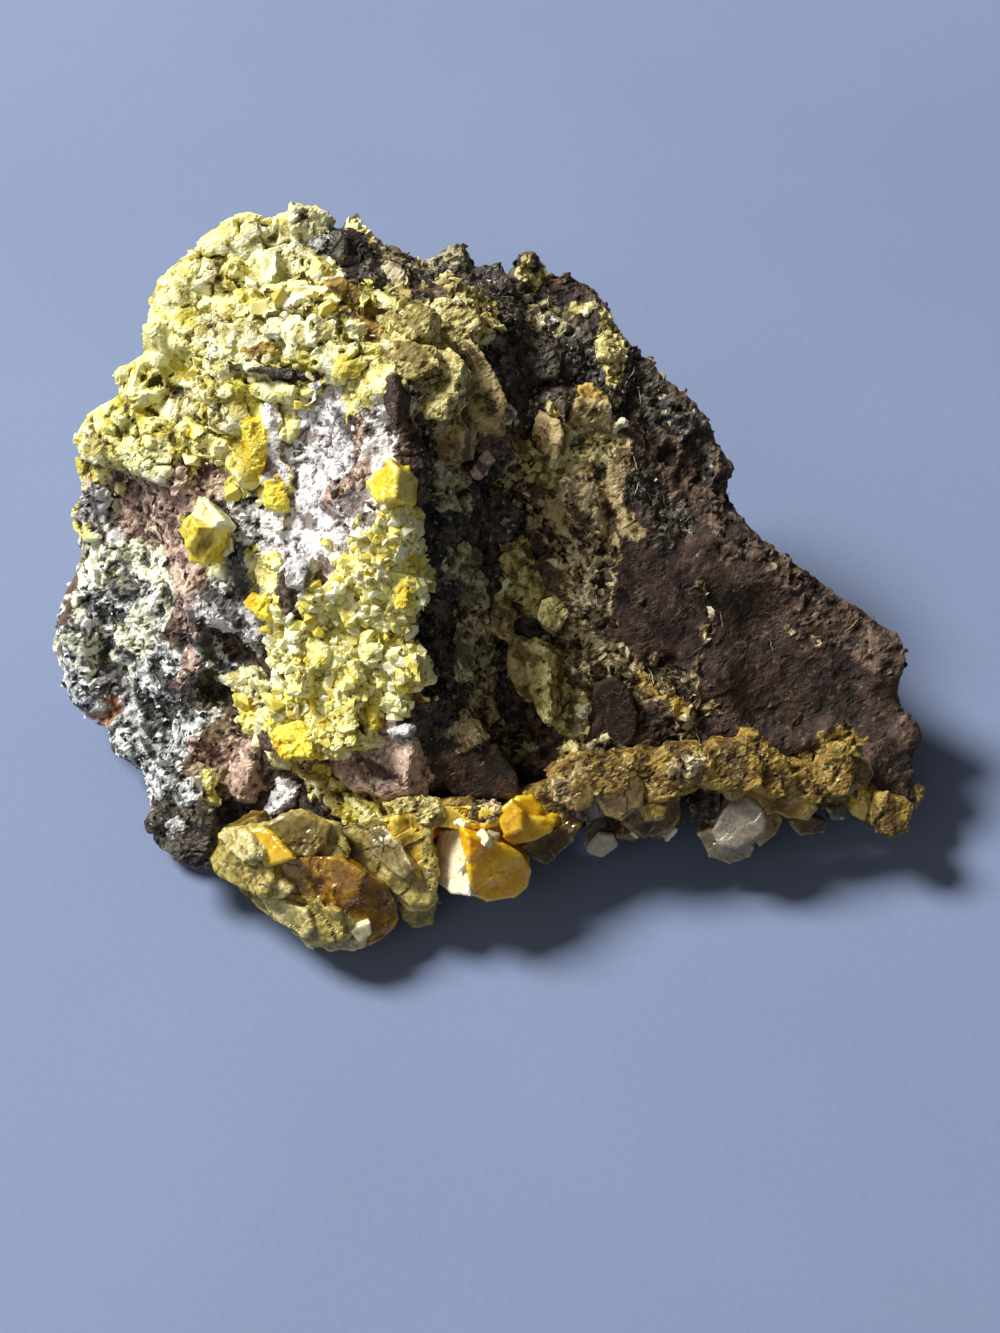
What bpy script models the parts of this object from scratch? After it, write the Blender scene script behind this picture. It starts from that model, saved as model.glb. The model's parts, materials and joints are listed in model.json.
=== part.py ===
"""Pyromorphite specimen: a broken lump of iron-stained gossan with a yellow crust and amber crystals.

The script works in metres with +Z up. Sizes and corner lists are in millimetres and are scaled by MM. The
origin is near the middle of the flat face that the lump rests on, and the sharp arris between the crusted
left face and the bare brown right face looks towards -Y.
"""

import math
import random

import bmesh
import bpy
from mathutils import Matrix, Vector, noise

MM = 0.001

# Gap between a piece and the piece that it grew on, in millimetres.
SEAT_GAP = 0.32

# Corners of the fracture blocks that the rock is made of, in millimetres.
BODY_CORNERS = (
    (-6.8, 4.0, 32.5),
    (-5.3, -6.8, 20.2),
    (-5.7, -15.8, 8.5),
    (-24.5, 13.5, 25.0),
    (-31.5, 9.5, 19.5),
    (-32.3, 4.7, 13.2),
    (-34.8, -0.3, 8.0),
    (-33.4, -3.5, 4.5),
    (-27.0, -11.5, 2.0),
    (-12.0, -19.0, 2.0),
    (-15.0, 21.5, 28.5),
    (3.0, 21.5, 26.0),
    (2.5, 12.0, 27.0),
    (0.0, -3.0, 17.0),
    (-0.5, -13.5, 6.0),
    (-27.0, 8.0, 7.0),
    (-17.0, 16.5, 12.0),
    (2.0, 18.5, 12.0),
    (-21.0, 3.0, -3.0),
    (-15.0, 10.5, -3.0),
    (3.0, 13.0, -3.0),
    (8.0, -8.0, -3.0),
    (-9.0, -13.5, -3.0),
    (-18.0, -9.0, -3.0),
)
CAP_CORNERS = (
    (-25.0, 14.0, 27.0),
    (-19.0, 20.0, 29.0),
    (-15.4, 22.0, 29.5),
    (-6.8, 20.5, 29.5),
    (-21.5, 9.2, 28.0),
    (-15.0, 7.0, 29.5),
    (-7.8, 5.6, 31.5),
    (-14.3, 10.0, 33.0),
    (-6.4, 11.0, 32.5),
    (2.0, 14.0, 27.5),
    (-14.0, 12.0, 22.0),
)
WING_CORNERS = (
    (7.2, 22.4, 26.0),
    (12.0, 14.4, 24.8),
    (16.0, 9.0, 21.4),
    (18.8, 3.2, 16.6),
    (33.2, -3.6, 11.4),
    (34.6, -8.6, 8.0),
    (34.4, -12.8, 4.0),
    (29.0, -14.0, 2.5),
    (9.0, -14.8, 6.5),
    (2.0, -13.0, 5.0),
    (2.5, 6.0, 21.5),
    (-1.0, 17.0, 25.0),
    (6.0, 18.0, 12.0),
    (23.0, 3.0, 6.0),
    (5.0, 13.0, -3.0),
    (17.0, 2.0, -3.0),
    (24.0, -7.5, -3.0),
    (8.0, -10.0, -3.0),
)
FOOT_CORNERS = (
    (-26.5, -13.0, 7.5),
    (-22.5, -13.5, 7.0),
    (-27.0, -16.5, 2.2),
    (-22.0, -18.5, 1.9),
    (-27.0, -12.0, 1.4),
    (-20.0, -14.0, 1.0),
    (-22.0, -8.0, 8.0),
    (-24.0, -9.0, 1.4),
)
BROW_CORNERS = (
    (-4.7, -15.4, 8.5),
    (2.1, -16.3, 8.3),
    (-4.0, -10.5, 12.0),
    (2.8, -11.5, 12.0),
    (-3.5, -13.0, 5.0),
    (2.0, -13.5, 5.0),
)
BLOCKS = (BODY_CORNERS, CAP_CORNERS, WING_CORNERS, FOOT_CORNERS, BROW_CORNERS)

# Rock lumps that break the outline: centre and radius, in millimetres.
ROCK_LUMPS = (
    ((-10.5, 22.5, 29.5), 2.4),
    ((-6.5, 21.5, 28.8), 2.2),
    ((-2.0, 22.0, 27.5), 2.3),
    ((3.0, 22.0, 26.0), 2.4),
    ((6.8, 21.4, 25.8), 2.3),
    ((9.8, 17.0, 25.0), 2.3),
    ((12.0, 13.8, 24.2), 2.0),
    ((15.6, 10.4, 21.8), 2.2),
    ((17.2, 7.2, 20.0), 1.5),
    ((23.4, 0.9, 15.2), 1.2),
    ((29.6, -1.8, 12.6), 2.2),
    ((32.2, -4.6, 10.8), 2.4),
    ((33.6, -9.6, 6.8), 2.3),
    ((-33.0, -1.5, 8.0), 2.2),
    ((-31.5, -6.0, 5.0), 2.2),
    ((-29.0, -9.5, 3.5), 2.2),
    ((-31.0, 5.5, 13.0), 2.0),
    ((-21.0, -3.5, 14.5), 2.2),
    ((-19.5, 1.0, 17.5), 2.0),
    ((-16.5, -12.0, 9.0), 2.2),
    ((1.5, 4.5, 24.5), 2.0),
    ((5.0, 8.5, 25.0), 2.2),
    ((0.5, 12.0, 29.0), 2.2),
    ((-2.0, 16.5, 29.5), 2.3),
    ((8.5, -12.0, 8.0), 3.0),
    ((-9.0, 17.5, 14.0), 4.6),
    ((-20.0, 15.0, 15.0), 4.0),
    ((8.5, 15.5, 15.0), 4.0),
    ((1.0, 16.5, 7.0), 3.6),
    ((17.5, 6.5, 10.0), 3.2),
    ((-24.0, 9.0, 8.0), 3.4),
    ((26.5, -1.0, 7.0), 2.6),
)

# Places where the rock is hollowed: centre, radius and depth, in millimetres.
ROCK_HOLLOWS = (
    ((-26.5, 4.5, 16.5), 6.0, 2.6),
    ((-20.5, -6.0, 13.5), 2.6, 2.4),
    ((13.8, -6.0, 13.6), 1.8, 1.2),
    ((-17.0, -15.8, 5.0), 3.0, 1.6),
    ((14.5, -15.0, 5.0), 3.2, 1.8),
    ((-3.0, 21.0, 19.0), 6.0, 2.6),
    ((14.0, 11.5, 14.0), 5.0, 2.2),
    ((-28.0, 8.5, 11.0), 4.5, 1.8),
    ((-14.0, 17.5, 22.0), 4.5, 1.8),
    ((10.0, 10.5, 5.0), 5.0, 2.0),
)

# The notch in the long upper edge of the brown face, in millimetres.
NOTCH_CORNERS = (
    (19.4, 10.5, 10.9),
    (19.4, 0.3, 25.7),
    (20.7, 8.1, 8.4),
    (20.7, -2.1, 23.2),
    (28.4, 4.0, 5.6),
    (28.4, -6.2, 20.4),
    (23.0, 14.4, 13.6),
    (23.0, 4.2, 28.4),
    (32.0, 7.9, 8.3),
    (32.0, -2.3, 23.1),
)

# The slit under the overhanging front rim of the cap, in millimetres.
SLIT_CORNERS = (
    (-21.5, 7.5, 27.6),
    (-14.8, 4.5, 29.2),
    (-9.5, 3.0, 30.6),
    (-21.5, 8.0, 26.6),
    (-14.8, 5.0, 27.9),
    (-9.5, 4.0, 29.6),
    (-17.5, 12.0, 28.2),
    (-12.5, 11.0, 29.2),
)

# An angular lump: how many corners it has, and how far out they lie as a share of its radius.
LUMP_CORNERS = 10
LUMP_REACH = (0.82, 1.12)

ROCK_SEED = 7
ROCK_VOXEL = 0.85
ROCK_TRIANGLES = 2900

# Chips that the rock's skin is broken into: cell and depth in millimetres, and a shift of the pattern.
CHIP_LAYERS = ((8.0, 0.55, 11), (3.6, 0.42, 23))
CHIP_TILT = 1.1
TILT_SALT = 31.7
RISE_SALT = 57.3

# A gap's corner moves out by at most this many gaps, so that no spike grows at a sharp edge.
CORNER_LIMIT = 2.0

# Shares of a crystal's radius: the bevel round its top, and its width at the root.
TOP_BEVEL = 0.32
ROOT_WIDTH = 0.88

# What grows on the rock stands on faces that look up enough and lie high enough, in millimetres.
LEAST_UPWARD = -0.3
LEAST_HEIGHT = 1.5
SPOT_SPREAD = (0.78, 1.15)

# Finish of each piece: colour, roughness and how much light goes through it.
FINISHES = {
    "matrix": ((0.085, 0.050, 0.042), 0.78, 0.0),
    "yellow_crust": ((0.62, 0.55, 0.24), 0.62, 0.0),
    "olive_crust": ((0.42, 0.39, 0.16), 0.60, 0.0),
    "arris_druse": ((0.70, 0.52, 0.07), 0.35, 0.0),
    "corner_cluster": ((0.62, 0.36, 0.05), 0.22, 0.35),
    "front_crystals": ((0.78, 0.48, 0.06), 0.18, 0.40),
    "edge_crystals": ((0.50, 0.38, 0.13), 0.30, 0.20),
    "end_crystal": ((0.50, 0.42, 0.12), 0.28, 0.25),
    "white_hex_crystal": ((0.60, 0.58, 0.50), 0.45, 0.10),
    "small_white_crystal": ((0.74, 0.72, 0.62), 0.35, 0.15),
    "shoulder_crystal": ((0.80, 0.72, 0.22), 0.40, 0.05),
    "ridge_crystal": ((0.85, 0.66, 0.08), 0.30, 0.15),
    "valley_crystals": ((0.40, 0.33, 0.14), 0.40, 0.10),
}

# Crusts: the balls, in millimetres, whose rock skin they cover, and the radius of their lumps there.
YELLOW_PATCHES = (
    ((-23.7, 12.4, 28.0), 5.0, 2.4),
    ((-19.0, 17.0, 30.0), 6.5, 2.5),
    ((-15.2, 21.0, 30.0), 5.0, 2.4),
    ((-13.5, 11.5, 32.0), 7.0, 2.3),
    ((-7.9, 9.7, 32.0), 4.5, 2.1),
    ((-27.7, 11.8, 24.0), 5.5, 3.0),
    ((-30.3, 10.3, 20.5), 5.0, 3.0),
    ((-31.2, 7.0, 17.0), 4.0, 2.5),
    ((-23.5, 9.0, 23.0), 6.0, 2.8),
    ((-18.0, 5.5, 24.0), 5.0, 2.3),
    ((-16.3, 2.2, 22.5), 4.0, 2.0),
)
OLIVE_PATCHES = (
    ((-3.9, 12.4, 30.3), 3.4, 1.8),
    ((-1.0, 13.4, 29.2), 3.2, 1.8),
    ((-3.3, 8.8, 29.8), 3.0, 1.7),
    ((-2.7, 6.0, 28.0), 2.8, 1.6),
    ((-3.3, 3.2, 26.6), 2.6, 1.5),
)
CRUST_STEP = 0.72
CRUST_VOXEL = 0.75
CRUST_SQUASH = 0.6
YELLOW_SEED = 19
OLIVE_SEED = 5
YELLOW_TRIANGLES = 1050
OLIVE_TRIANGLES = 280

# Lumps of the yellow crust that stand out past the rock: centre and radius, in millimetres.
CRUST_RIM = (
    ((-15.4, 21.6, 30.2), 2.3),
    ((-12.6, 20.6, 30.2), 2.0),
    ((-18.6, 20.0, 30.0), 2.4),
    ((-21.4, 18.2, 29.4), 2.3),
    ((-23.6, 16.0, 28.4), 2.4),
    ((-25.0, 13.4, 27.2), 2.3),
    ((-27.6, 11.8, 24.0), 2.4),
    ((-30.8, 9.8, 20.2), 2.3),
    ((-31.4, 6.9, 17.2), 2.0),
)

# Crystal field along the arris: the balls whose skin it covers, and the radius of its crystals there.
DRUSE_PATCHES = (
    ((-7.2, -3.0, 23.0), 3.4, 1.9),
    ((-8.2, -7.5, 20.0), 3.8, 1.9),
    ((-12.0, -6.0, 19.0), 3.8, 1.8),
    ((-7.5, -11.5, 15.0), 3.8, 1.9),
    ((-12.0, -10.6, 15.0), 4.2, 1.9),
    ((-15.0, -12.5, 11.5), 4.0, 2.0),
)
DRUSE_STEP = 1.06
DRUSE_SEED = 31
DRUSE_LEAN = 0.35
DRUSE_LENGTH = 2.2
DRUSE_RIGHTMOST = 0.2

# Crystals that stand alone or in groups: centre, axis, radius, length and turn, in millimetres.
CRYSTAL_GROUPS = {
    "corner_cluster": (
        ((-18.6, -18.0, 4.5), (-0.5, -0.6, 0.3), 2.7, 6.0, 0.2),
        ((-16.6, -19.4, 6.8), (-0.1, -0.5, 0.8), 1.5, 3.2, 0.5),
        ((-14.6, -18.4, 6.4), (0.15, -0.45, 0.85), 2.2, 4.4, 0.0),
        ((-15.2, -20.6, 3.8), (-0.2, -0.9, 0.1), 2.6, 5.6, 0.3),
        ((-12.0, -20.8, 4.0), (0.1, -0.9, 0.2), 2.7, 5.6, 0.1),
        ((-9.8, -21.6, 3.4), (0.4, -0.8, 0.0), 2.4, 5.2, 0.45),
        ((-13.8, -23.2, 2.7), (-0.3, -0.8, -0.1), 2.1, 3.8, 0.6),
        ((-10.8, -23.9, 2.6), (0.2, -0.8, -0.1), 1.9, 3.8, 0.25),
    ),
    "front_crystals": (
        ((0.0, -18.6, 4.6), (0.1, -0.75, -0.55), 3.7, 6.6, 0.5),
        ((-6.8, -19.4, 4.6), (-0.3, -0.7, 0.3), 2.0, 4.6, 0.2),
        ((-6.0, -21.2, 2.9), (-0.1, -0.8, -0.2), 1.9, 4.4, 0.5),
        ((-5.2, -17.6, 6.4), (-0.2, -0.7, 0.6), 2.3, 4.8, 0.1),
        ((-1.0, -18.4, 7.0), (0.0, -0.6, 0.8), 1.3, 3.0, 0.4),
        ((2.6, -16.6, 6.8), (0.3, -0.5, 0.8), 1.9, 4.2, 0.2),
        ((4.8, -16.6, 5.8), (0.7, -0.5, 0.4), 1.9, 4.0, 0.6),
    ),
    "small_white_crystal": (
        ((8.6, -16.2, 2.6), (-0.15, -0.9, 0.1), 1.3, 3.6, 0.3),
    ),
    "white_hex_crystal": (
        ((19.2, -15.2, 4.2), (0.1, -0.75, 0.45), 2.9, 5.6, 0.25),
        ((20.7, -14.8, 3.4), (0.5, -0.8, 0.1), 1.9, 4.4, 0.0),
    ),
    "edge_crystals": (
        ((7.6, -14.6, 6.2), (-0.2, -0.8, 0.4), 2.7, 5.6, 0.1),
        ((9.6, -13.6, 8.0), (0.1, -0.5, 0.8), 2.3, 4.6, 0.4),
        ((11.8, -14.4, 6.2), (0.2, -0.8, 0.4), 2.6, 5.4, 0.2),
        ((13.0, -15.2, 4.4), (0.3, -0.8, -0.1), 2.3, 4.8, 0.5),
        ((10.8, -15.9, 3.8), (-0.2, -0.8, -0.3), 1.9, 4.0, 0.0),
        ((14.2, -13.6, 8.0), (0.1, -0.6, 0.8), 2.1, 4.2, 0.3),
        ((16.9, -13.4, 7.6), (0.0, -0.7, 0.7), 2.4, 4.6, 0.1),
        ((19.4, -13.4, 7.8), (0.1, -0.7, 0.7), 2.1, 4.2, 0.5),
        ((21.8, -13.4, 6.6), (0.1, -0.8, 0.5), 2.4, 4.8, 0.2),
        ((24.4, -13.8, 5.6), (0.0, -0.9, 0.2), 2.3, 4.8, 0.6),
        ((26.6, -13.6, 5.8), (0.3, -0.8, 0.5), 2.0, 4.2, 0.3),
        ((28.4, -13.0, 6.6), (0.3, -0.6, 0.7), 1.9, 3.8, 0.0),
    ),
    "end_crystal": (
        ((31.4, -14.4, 3.6), (0.3, -0.9, 0.2), 2.3, 5.0, 0.25),
        ((33.2, -13.2, 4.2), (0.8, -0.5, 0.3), 1.9, 4.4, 0.0),
    ),
    "shoulder_crystal": (
        ((-21.6, 1.2, 18.4), (-0.5, -0.35, 0.8), 2.7, 5.6, 0.3),
    ),
    "ridge_crystal": (
        ((-7.2, -1.2, 26.6), (-0.3, -0.3, 0.9), 1.8, 4.6, 0.2),
    ),
    "valley_crystals": (
        ((5.0, -3.3, 13.8), (-0.1, -0.6, 0.8), 1.8, 3.4, 0.2),
        ((4.1, -5.4, 11.9), (-0.2, -0.6, 0.8), 1.9, 3.6, 0.5),
        ((3.2, -7.9, 10.2), (-0.1, -0.7, 0.7), 1.9, 3.6, 0.1),
        ((4.3, -10.0, 8.8), (-0.2, -0.7, 0.7), 1.9, 3.6, 0.4),
        ((6.0, -11.9, 8.2), (-0.2, -0.6, 0.8), 2.0, 3.6, 0.0),
    ),
}


def object_from(name, bm):
    """A new object in the scene that holds the bmesh, which is freed."""
    mesh = bpy.data.meshes.new(name)
    bm.to_mesh(mesh)
    bm.free()
    obj = bpy.data.objects.new(name, mesh)
    bpy.context.scene.collection.objects.link(obj)
    return obj


def hull_of(points):
    """A bmesh with the convex hull of points given in metres."""
    bm = bmesh.new()
    for point in points:
        bm.verts.new(point)
    found = bmesh.ops.convex_hull(bm, input=bm.verts)
    inside = {v for v in found["geom_interior"] if isinstance(v, bmesh.types.BMVert)}
    bmesh.ops.delete(bm, geom=list(inside), context="VERTS")
    return bm


def block(corners):
    """The convex block between corners given in millimetres."""
    return hull_of([Vector(corner) * MM for corner in corners])


def lump(centre, radius, dice, axis=None, squash=1.0):
    """An angular lump of stone, flattened along an axis where squash is below 1."""
    points = []
    for _ in range(LUMP_CORNERS):
        offset = Vector((dice.gauss(0, 1), dice.gauss(0, 1), dice.gauss(0, 1))).normalized()
        offset *= dice.uniform(*LUMP_REACH)
        if axis is not None:
            offset -= axis * offset.dot(axis) * (1 - squash)
        points.append((Vector(centre) + offset * radius) * MM)
    return hull_of(points)


def gather(name, pieces):
    """One object that holds every bmesh of a list, which may still overlap."""
    joined = bmesh.new()
    for piece in pieces:
        scratch = bpy.data.meshes.new("piece")
        piece.to_mesh(scratch)
        piece.free()
        joined.from_mesh(scratch)
        bpy.data.meshes.remove(scratch)
    return object_from(name, joined)


def settle(obj):
    """Applies the object's modifiers to its mesh."""
    graph = bpy.context.evaluated_depsgraph_get()
    mesh = bpy.data.meshes.new_from_object(obj.evaluated_get(graph))
    obj.modifiers.clear()
    old = obj.data
    obj.data = mesh
    bpy.data.meshes.remove(old)


def remesh(obj, voxel):
    """Turns overlapping shapes into one even skin with faces of about voxel millimetres."""
    modifier = obj.modifiers.new("Even skin", "REMESH")
    modifier.mode = "VOXEL"
    modifier.voxel_size = voxel * MM
    settle(obj)


def thin_out(obj, triangles):
    """Leaves about the given number of triangles, the flat stretches losing the most."""
    obj.data.calc_loop_triangles()
    modifier = obj.modifiers.new("Fewer faces", "DECIMATE")
    modifier.ratio = min(1.0, triangles / len(obj.data.loop_triangles))
    modifier.use_collapse_triangulate = True
    settle(obj)


def combine(obj, other, operation, solver="EXACT"):
    """Boolean of two objects, which deletes the second."""
    modifier = obj.modifiers.new("Boolean", "BOOLEAN")
    modifier.solver = solver
    modifier.operation = operation
    modifier.object = other
    settle(obj)
    bpy.data.objects.remove(other, do_unlink=True)


def keep_largest(obj):
    """Deletes every loose island but the one with the most volume."""
    bm = bmesh.new()
    bm.from_mesh(obj.data)
    bm.verts.ensure_lookup_table()
    seen = set()
    islands = []
    for start in bm.verts:
        if start in seen:
            continue
        island = []
        queue = [start]
        seen.add(start)
        while queue:
            vert = queue.pop()
            island.append(vert)
            for edge in vert.link_edges:
                near = edge.other_vert(vert)
                if near not in seen:
                    seen.add(near)
                    queue.append(near)
        islands.append(island)
    islands.sort(key=island_volume)
    for island in islands[:-1]:
        bmesh.ops.delete(bm, geom=island, context="VERTS")
    bm.to_mesh(obj.data)
    bm.free()


def island_volume(verts):
    """Volume of the closed island that the verts belong to."""
    faces = {face for vert in verts for face in vert.link_faces}
    volume = 0.0
    for face in faces:
        corners = [v.co for v in face.verts]
        for k in range(1, len(corners) - 1):
            volume += corners[0].dot(corners[k].cross(corners[k + 1])) / 6
    return volume


def chip_height(point, cell, depth, seed):
    """How far a broken face stands out at a point: one tilted flat for each cell of stone."""
    place = point / (cell * MM) + Vector((seed, 2 * seed, 3 * seed))
    site = noise.voronoi(place)[1][0]
    tilt = noise.cell_vector(site * TILT_SALT) - Vector((0.5, 0.5, 0.5))
    rise = noise.cell(site * RISE_SALT) - 0.5
    return depth * MM * (rise + CHIP_TILT * tilt.dot(place - site))


def press(obj, centre, radius, depth):
    """Pushes the skin in around a centre, the most in the middle."""
    centre = Vector(centre) * MM
    for vert in obj.data.vertices:
        near = 1 - (vert.co - centre).length / (radius * MM)
        if near > 0:
            vert.co -= vert.normal * depth * MM * near * near * (3 - 2 * near)


def break_up(obj, layers):
    """Moves the skin along its normals into chips of several sizes."""
    moves = []
    for vert in obj.data.vertices:
        rise = sum(chip_height(vert.co, cell, depth, seed) for cell, depth, seed in layers)
        moves.append(vert.normal * rise)
    for vert, move in zip(obj.data.vertices, moves):
        vert.co += move


def flatten_base(obj, height):
    """Cuts the object off flat at a height, in millimetres, and closes the cut with one face."""
    bm = bmesh.new()
    bm.from_mesh(obj.data)
    cut = bmesh.ops.bisect_plane(
        bm,
        geom=bm.verts[:] + bm.edges[:] + bm.faces[:],
        plane_co=(0, 0, height * MM),
        plane_no=(0, 0, 1),
        clear_inner=True,
    )
    rim = [item for item in cut["geom_cut"] if isinstance(item, bmesh.types.BMEdge)]
    bmesh.ops.contextual_create(bm, geom=rim)
    bmesh.ops.recalc_face_normals(bm, faces=bm.faces)
    bm.to_mesh(obj.data)
    bm.free()


def swell(obj, gap):
    """Moves every face of a closed skin outwards by a gap in millimetres."""
    bm = bmesh.new()
    bm.from_mesh(obj.data)
    bm.normal_update()
    moves = []
    for vert in bm.verts:
        reach = min(vert.calc_shell_factor(), CORNER_LIMIT)
        moves.append(vert.normal * reach * gap * MM)
    for vert, move in zip(bm.verts, moves):
        vert.co += move
    bm.to_mesh(obj.data)
    bm.free()


def clear_of(obj, neighbours):
    """Cuts an object back until it stands a seat gap clear of each neighbour.

    The exact solver leaves edges with three faces on these rough seats, so the manifold one cuts them.
    """
    for neighbour in neighbours:
        copy = bpy.data.objects.new("cutter", neighbour.data.copy())
        bpy.context.scene.collection.objects.link(copy)
        swell(copy, SEAT_GAP)
        combine(obj, copy, "DIFFERENCE", "MANIFOLD")
    keep_largest(obj)


def crystal(centre, axis, radius, length, turn):
    """A six-sided barrel with a bevelled top that stands along an axis, its middle at a centre."""
    chamfer = TOP_BEVEL * radius
    rings = (
        (-0.5 * length, ROOT_WIDTH * radius),
        (0.5 * length - chamfer, radius),
        (0.5 * length, radius - chamfer),
    )
    toward = Vector(axis).normalized()
    frame = toward.to_track_quat("Z", "X").to_matrix() @ Matrix.Rotation(turn, 3, "Z")
    points = []
    for height, reach in rings:
        for side in range(6):
            angle = side * math.pi / 3
            local = Vector((reach * math.cos(angle), reach * math.sin(angle), height))
            points.append((Vector(centre) + frame @ local) * MM)
    return hull_of(points)


def fuse(name, pieces):
    """One closed body from overlapping convex pieces."""
    body = object_from(name, pieces[0])
    for piece in pieces[1:]:
        combine(body, object_from("piece", piece), "UNION", "MANIFOLD")
    return body


def spots_on(rock, patches, step, dice, rightmost=1.0):
    """Scattered places on the skin of some patches: point, normal and size, in millimetres.

    Faces whose normal leans to +X by more than rightmost stay bare.
    """
    spots = []
    faces = list(rock.data.polygons)
    dice.shuffle(faces)
    for face in faces:
        centre = face.center / MM
        if face.normal.z < LEAST_UPWARD or centre.z < LEAST_HEIGHT or face.normal.x > rightmost:
            continue
        sizes = [size for spot, reach, size in patches if (centre - Vector(spot)).length < reach]
        if not sizes:
            continue
        size = sizes[0] * dice.uniform(*SPOT_SPREAD)
        if all((centre - other).length > step * 0.5 * (size + near) for other, _, near in spots):
            spots.append((centre, face.normal.copy(), size))
    return spots


def build_matrix():
    """The host rock."""
    dice = random.Random(ROCK_SEED)
    shapes = [block(corners) for corners in BLOCKS]
    shapes += [lump(centre, radius, dice) for centre, radius in ROCK_LUMPS]
    rock = gather("matrix", shapes)
    remesh(rock, ROCK_VOXEL)
    cuts = [block(SLIT_CORNERS), block(NOTCH_CORNERS)]
    combine(rock, gather("cuts", cuts), "DIFFERENCE")
    remesh(rock, ROCK_VOXEL)
    for centre, radius, depth in ROCK_HOLLOWS:
        press(rock, centre, radius, depth)
    break_up(rock, CHIP_LAYERS)
    remesh(rock, ROCK_VOXEL)
    thin_out(rock, ROCK_TRIANGLES)
    flatten_base(rock, 0.0)
    keep_largest(rock)
    return rock


def build_group(name, crystals, neighbours):
    """A group of crystals grown together, seated on its neighbours."""
    pieces = [crystal(*facts) for facts in crystals]
    group = fuse(name, pieces)
    clear_of(group, neighbours)
    return group


def build_crust(name, rock, patches, rim, triangles, seed):
    """A lumpy crust that covers some patches of the rock, with a few lumps past its edge."""
    dice = random.Random(seed)
    pieces = [lump(centre, radius, dice) for centre, radius in rim]
    for centre, normal, radius in spots_on(rock, patches, CRUST_STEP, dice):
        pieces.append(lump(centre, radius, dice, normal, CRUST_SQUASH))
    crust = gather(name, pieces)
    remesh(crust, CRUST_VOXEL)
    thin_out(crust, triangles)
    return crust


def build_druse(rock, neighbours):
    """The field of small crystals to the left of the arris."""
    dice = random.Random(DRUSE_SEED)
    pieces = []
    for centre, normal, radius in spots_on(rock, DRUSE_PATCHES, DRUSE_STEP, dice, DRUSE_RIGHTMOST):
        lean = Vector([dice.gauss(0, DRUSE_LEAN) for _ in range(3)])
        turn = dice.uniform(0, 1)
        pieces.append(crystal(centre, normal + lean, radius, DRUSE_LENGTH * radius, turn))
    druse = fuse("arris_druse", pieces)
    clear_of(druse, neighbours)
    return druse


def give_finish(obj):
    """The object's own material."""
    colour, roughness, transmission = FINISHES[obj.name]
    material = bpy.data.materials.new(obj.name)
    material.use_nodes = True
    shader = material.node_tree.nodes["Principled BSDF"]
    shader.inputs["Base Color"].default_value = (*colour, 1.0)
    shader.inputs["Roughness"].default_value = roughness
    shader.inputs["Metallic"].default_value = 0.0
    shader.inputs["Transmission Weight"].default_value = transmission
    obj.data.materials.clear()
    obj.data.materials.append(material)


def main():
    """Builds the rock first, and then what grew on it, each piece clear of those before it."""
    for obj in list(bpy.data.objects):
        bpy.data.objects.remove(obj, do_unlink=True)
    rock = build_matrix()
    made = [rock]
    for name, crystals in CRYSTAL_GROUPS.items():
        made.append(build_group(name, crystals, made))
    made.append(build_druse(rock, made))
    olive = build_crust("olive_crust", rock, OLIVE_PATCHES, (), OLIVE_TRIANGLES, OLIVE_SEED)
    clear_of(olive, made)
    made.append(olive)
    yellow = build_crust("yellow_crust", rock, YELLOW_PATCHES, CRUST_RIM, YELLOW_TRIANGLES, YELLOW_SEED)
    clear_of(yellow, made)
    made.append(yellow)
    for obj in made:
        give_finish(obj)


main()
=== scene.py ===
"""Looks of the pyromorphite specimen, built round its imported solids.

The rough rock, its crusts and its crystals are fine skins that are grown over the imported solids, broken up into
chips, blocks and grains, painted with minerals and strewn with joined grains. Lengths are in millimetres until a
piece is handed over, which is in metres. Places on the skin are given as (x, y) points of the main view, which is
1000 wide and 1333 high; each is cast along its sight line onto the solids, so that it lies on the stone itself.
Long tables are text: a row has a name, its numbers and its places, and the class that reads them says which.
"""

import itertools
import json
import logging
import math
import random
from dataclasses import dataclass, field
from enum import Enum, IntEnum

import bmesh
import bpy
import numpy as np
from mathutils import Matrix, Vector
from mathutils.bvhtree import BVHTree

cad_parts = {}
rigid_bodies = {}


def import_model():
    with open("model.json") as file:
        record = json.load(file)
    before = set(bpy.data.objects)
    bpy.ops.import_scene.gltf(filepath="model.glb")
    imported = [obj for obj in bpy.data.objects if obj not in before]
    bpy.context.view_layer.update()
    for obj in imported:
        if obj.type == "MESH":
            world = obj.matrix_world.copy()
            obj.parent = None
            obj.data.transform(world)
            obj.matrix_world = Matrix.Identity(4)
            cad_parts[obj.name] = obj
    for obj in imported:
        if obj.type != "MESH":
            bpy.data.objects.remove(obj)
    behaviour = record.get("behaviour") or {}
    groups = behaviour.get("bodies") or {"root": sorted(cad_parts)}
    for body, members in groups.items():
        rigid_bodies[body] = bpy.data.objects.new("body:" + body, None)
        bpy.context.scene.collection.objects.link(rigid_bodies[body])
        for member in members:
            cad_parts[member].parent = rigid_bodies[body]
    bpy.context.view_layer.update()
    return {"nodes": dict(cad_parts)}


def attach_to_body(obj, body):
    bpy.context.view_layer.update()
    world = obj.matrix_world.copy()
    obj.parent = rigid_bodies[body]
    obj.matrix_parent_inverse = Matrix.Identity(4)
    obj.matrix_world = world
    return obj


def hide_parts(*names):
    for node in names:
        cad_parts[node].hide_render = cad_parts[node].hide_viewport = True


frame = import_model()

log = logging.getLogger("specimen")

Colour = tuple[float, float, float]
Pixel = tuple[float, float]

MM = 0.001
BODY = "root"


# --- camera


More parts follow.
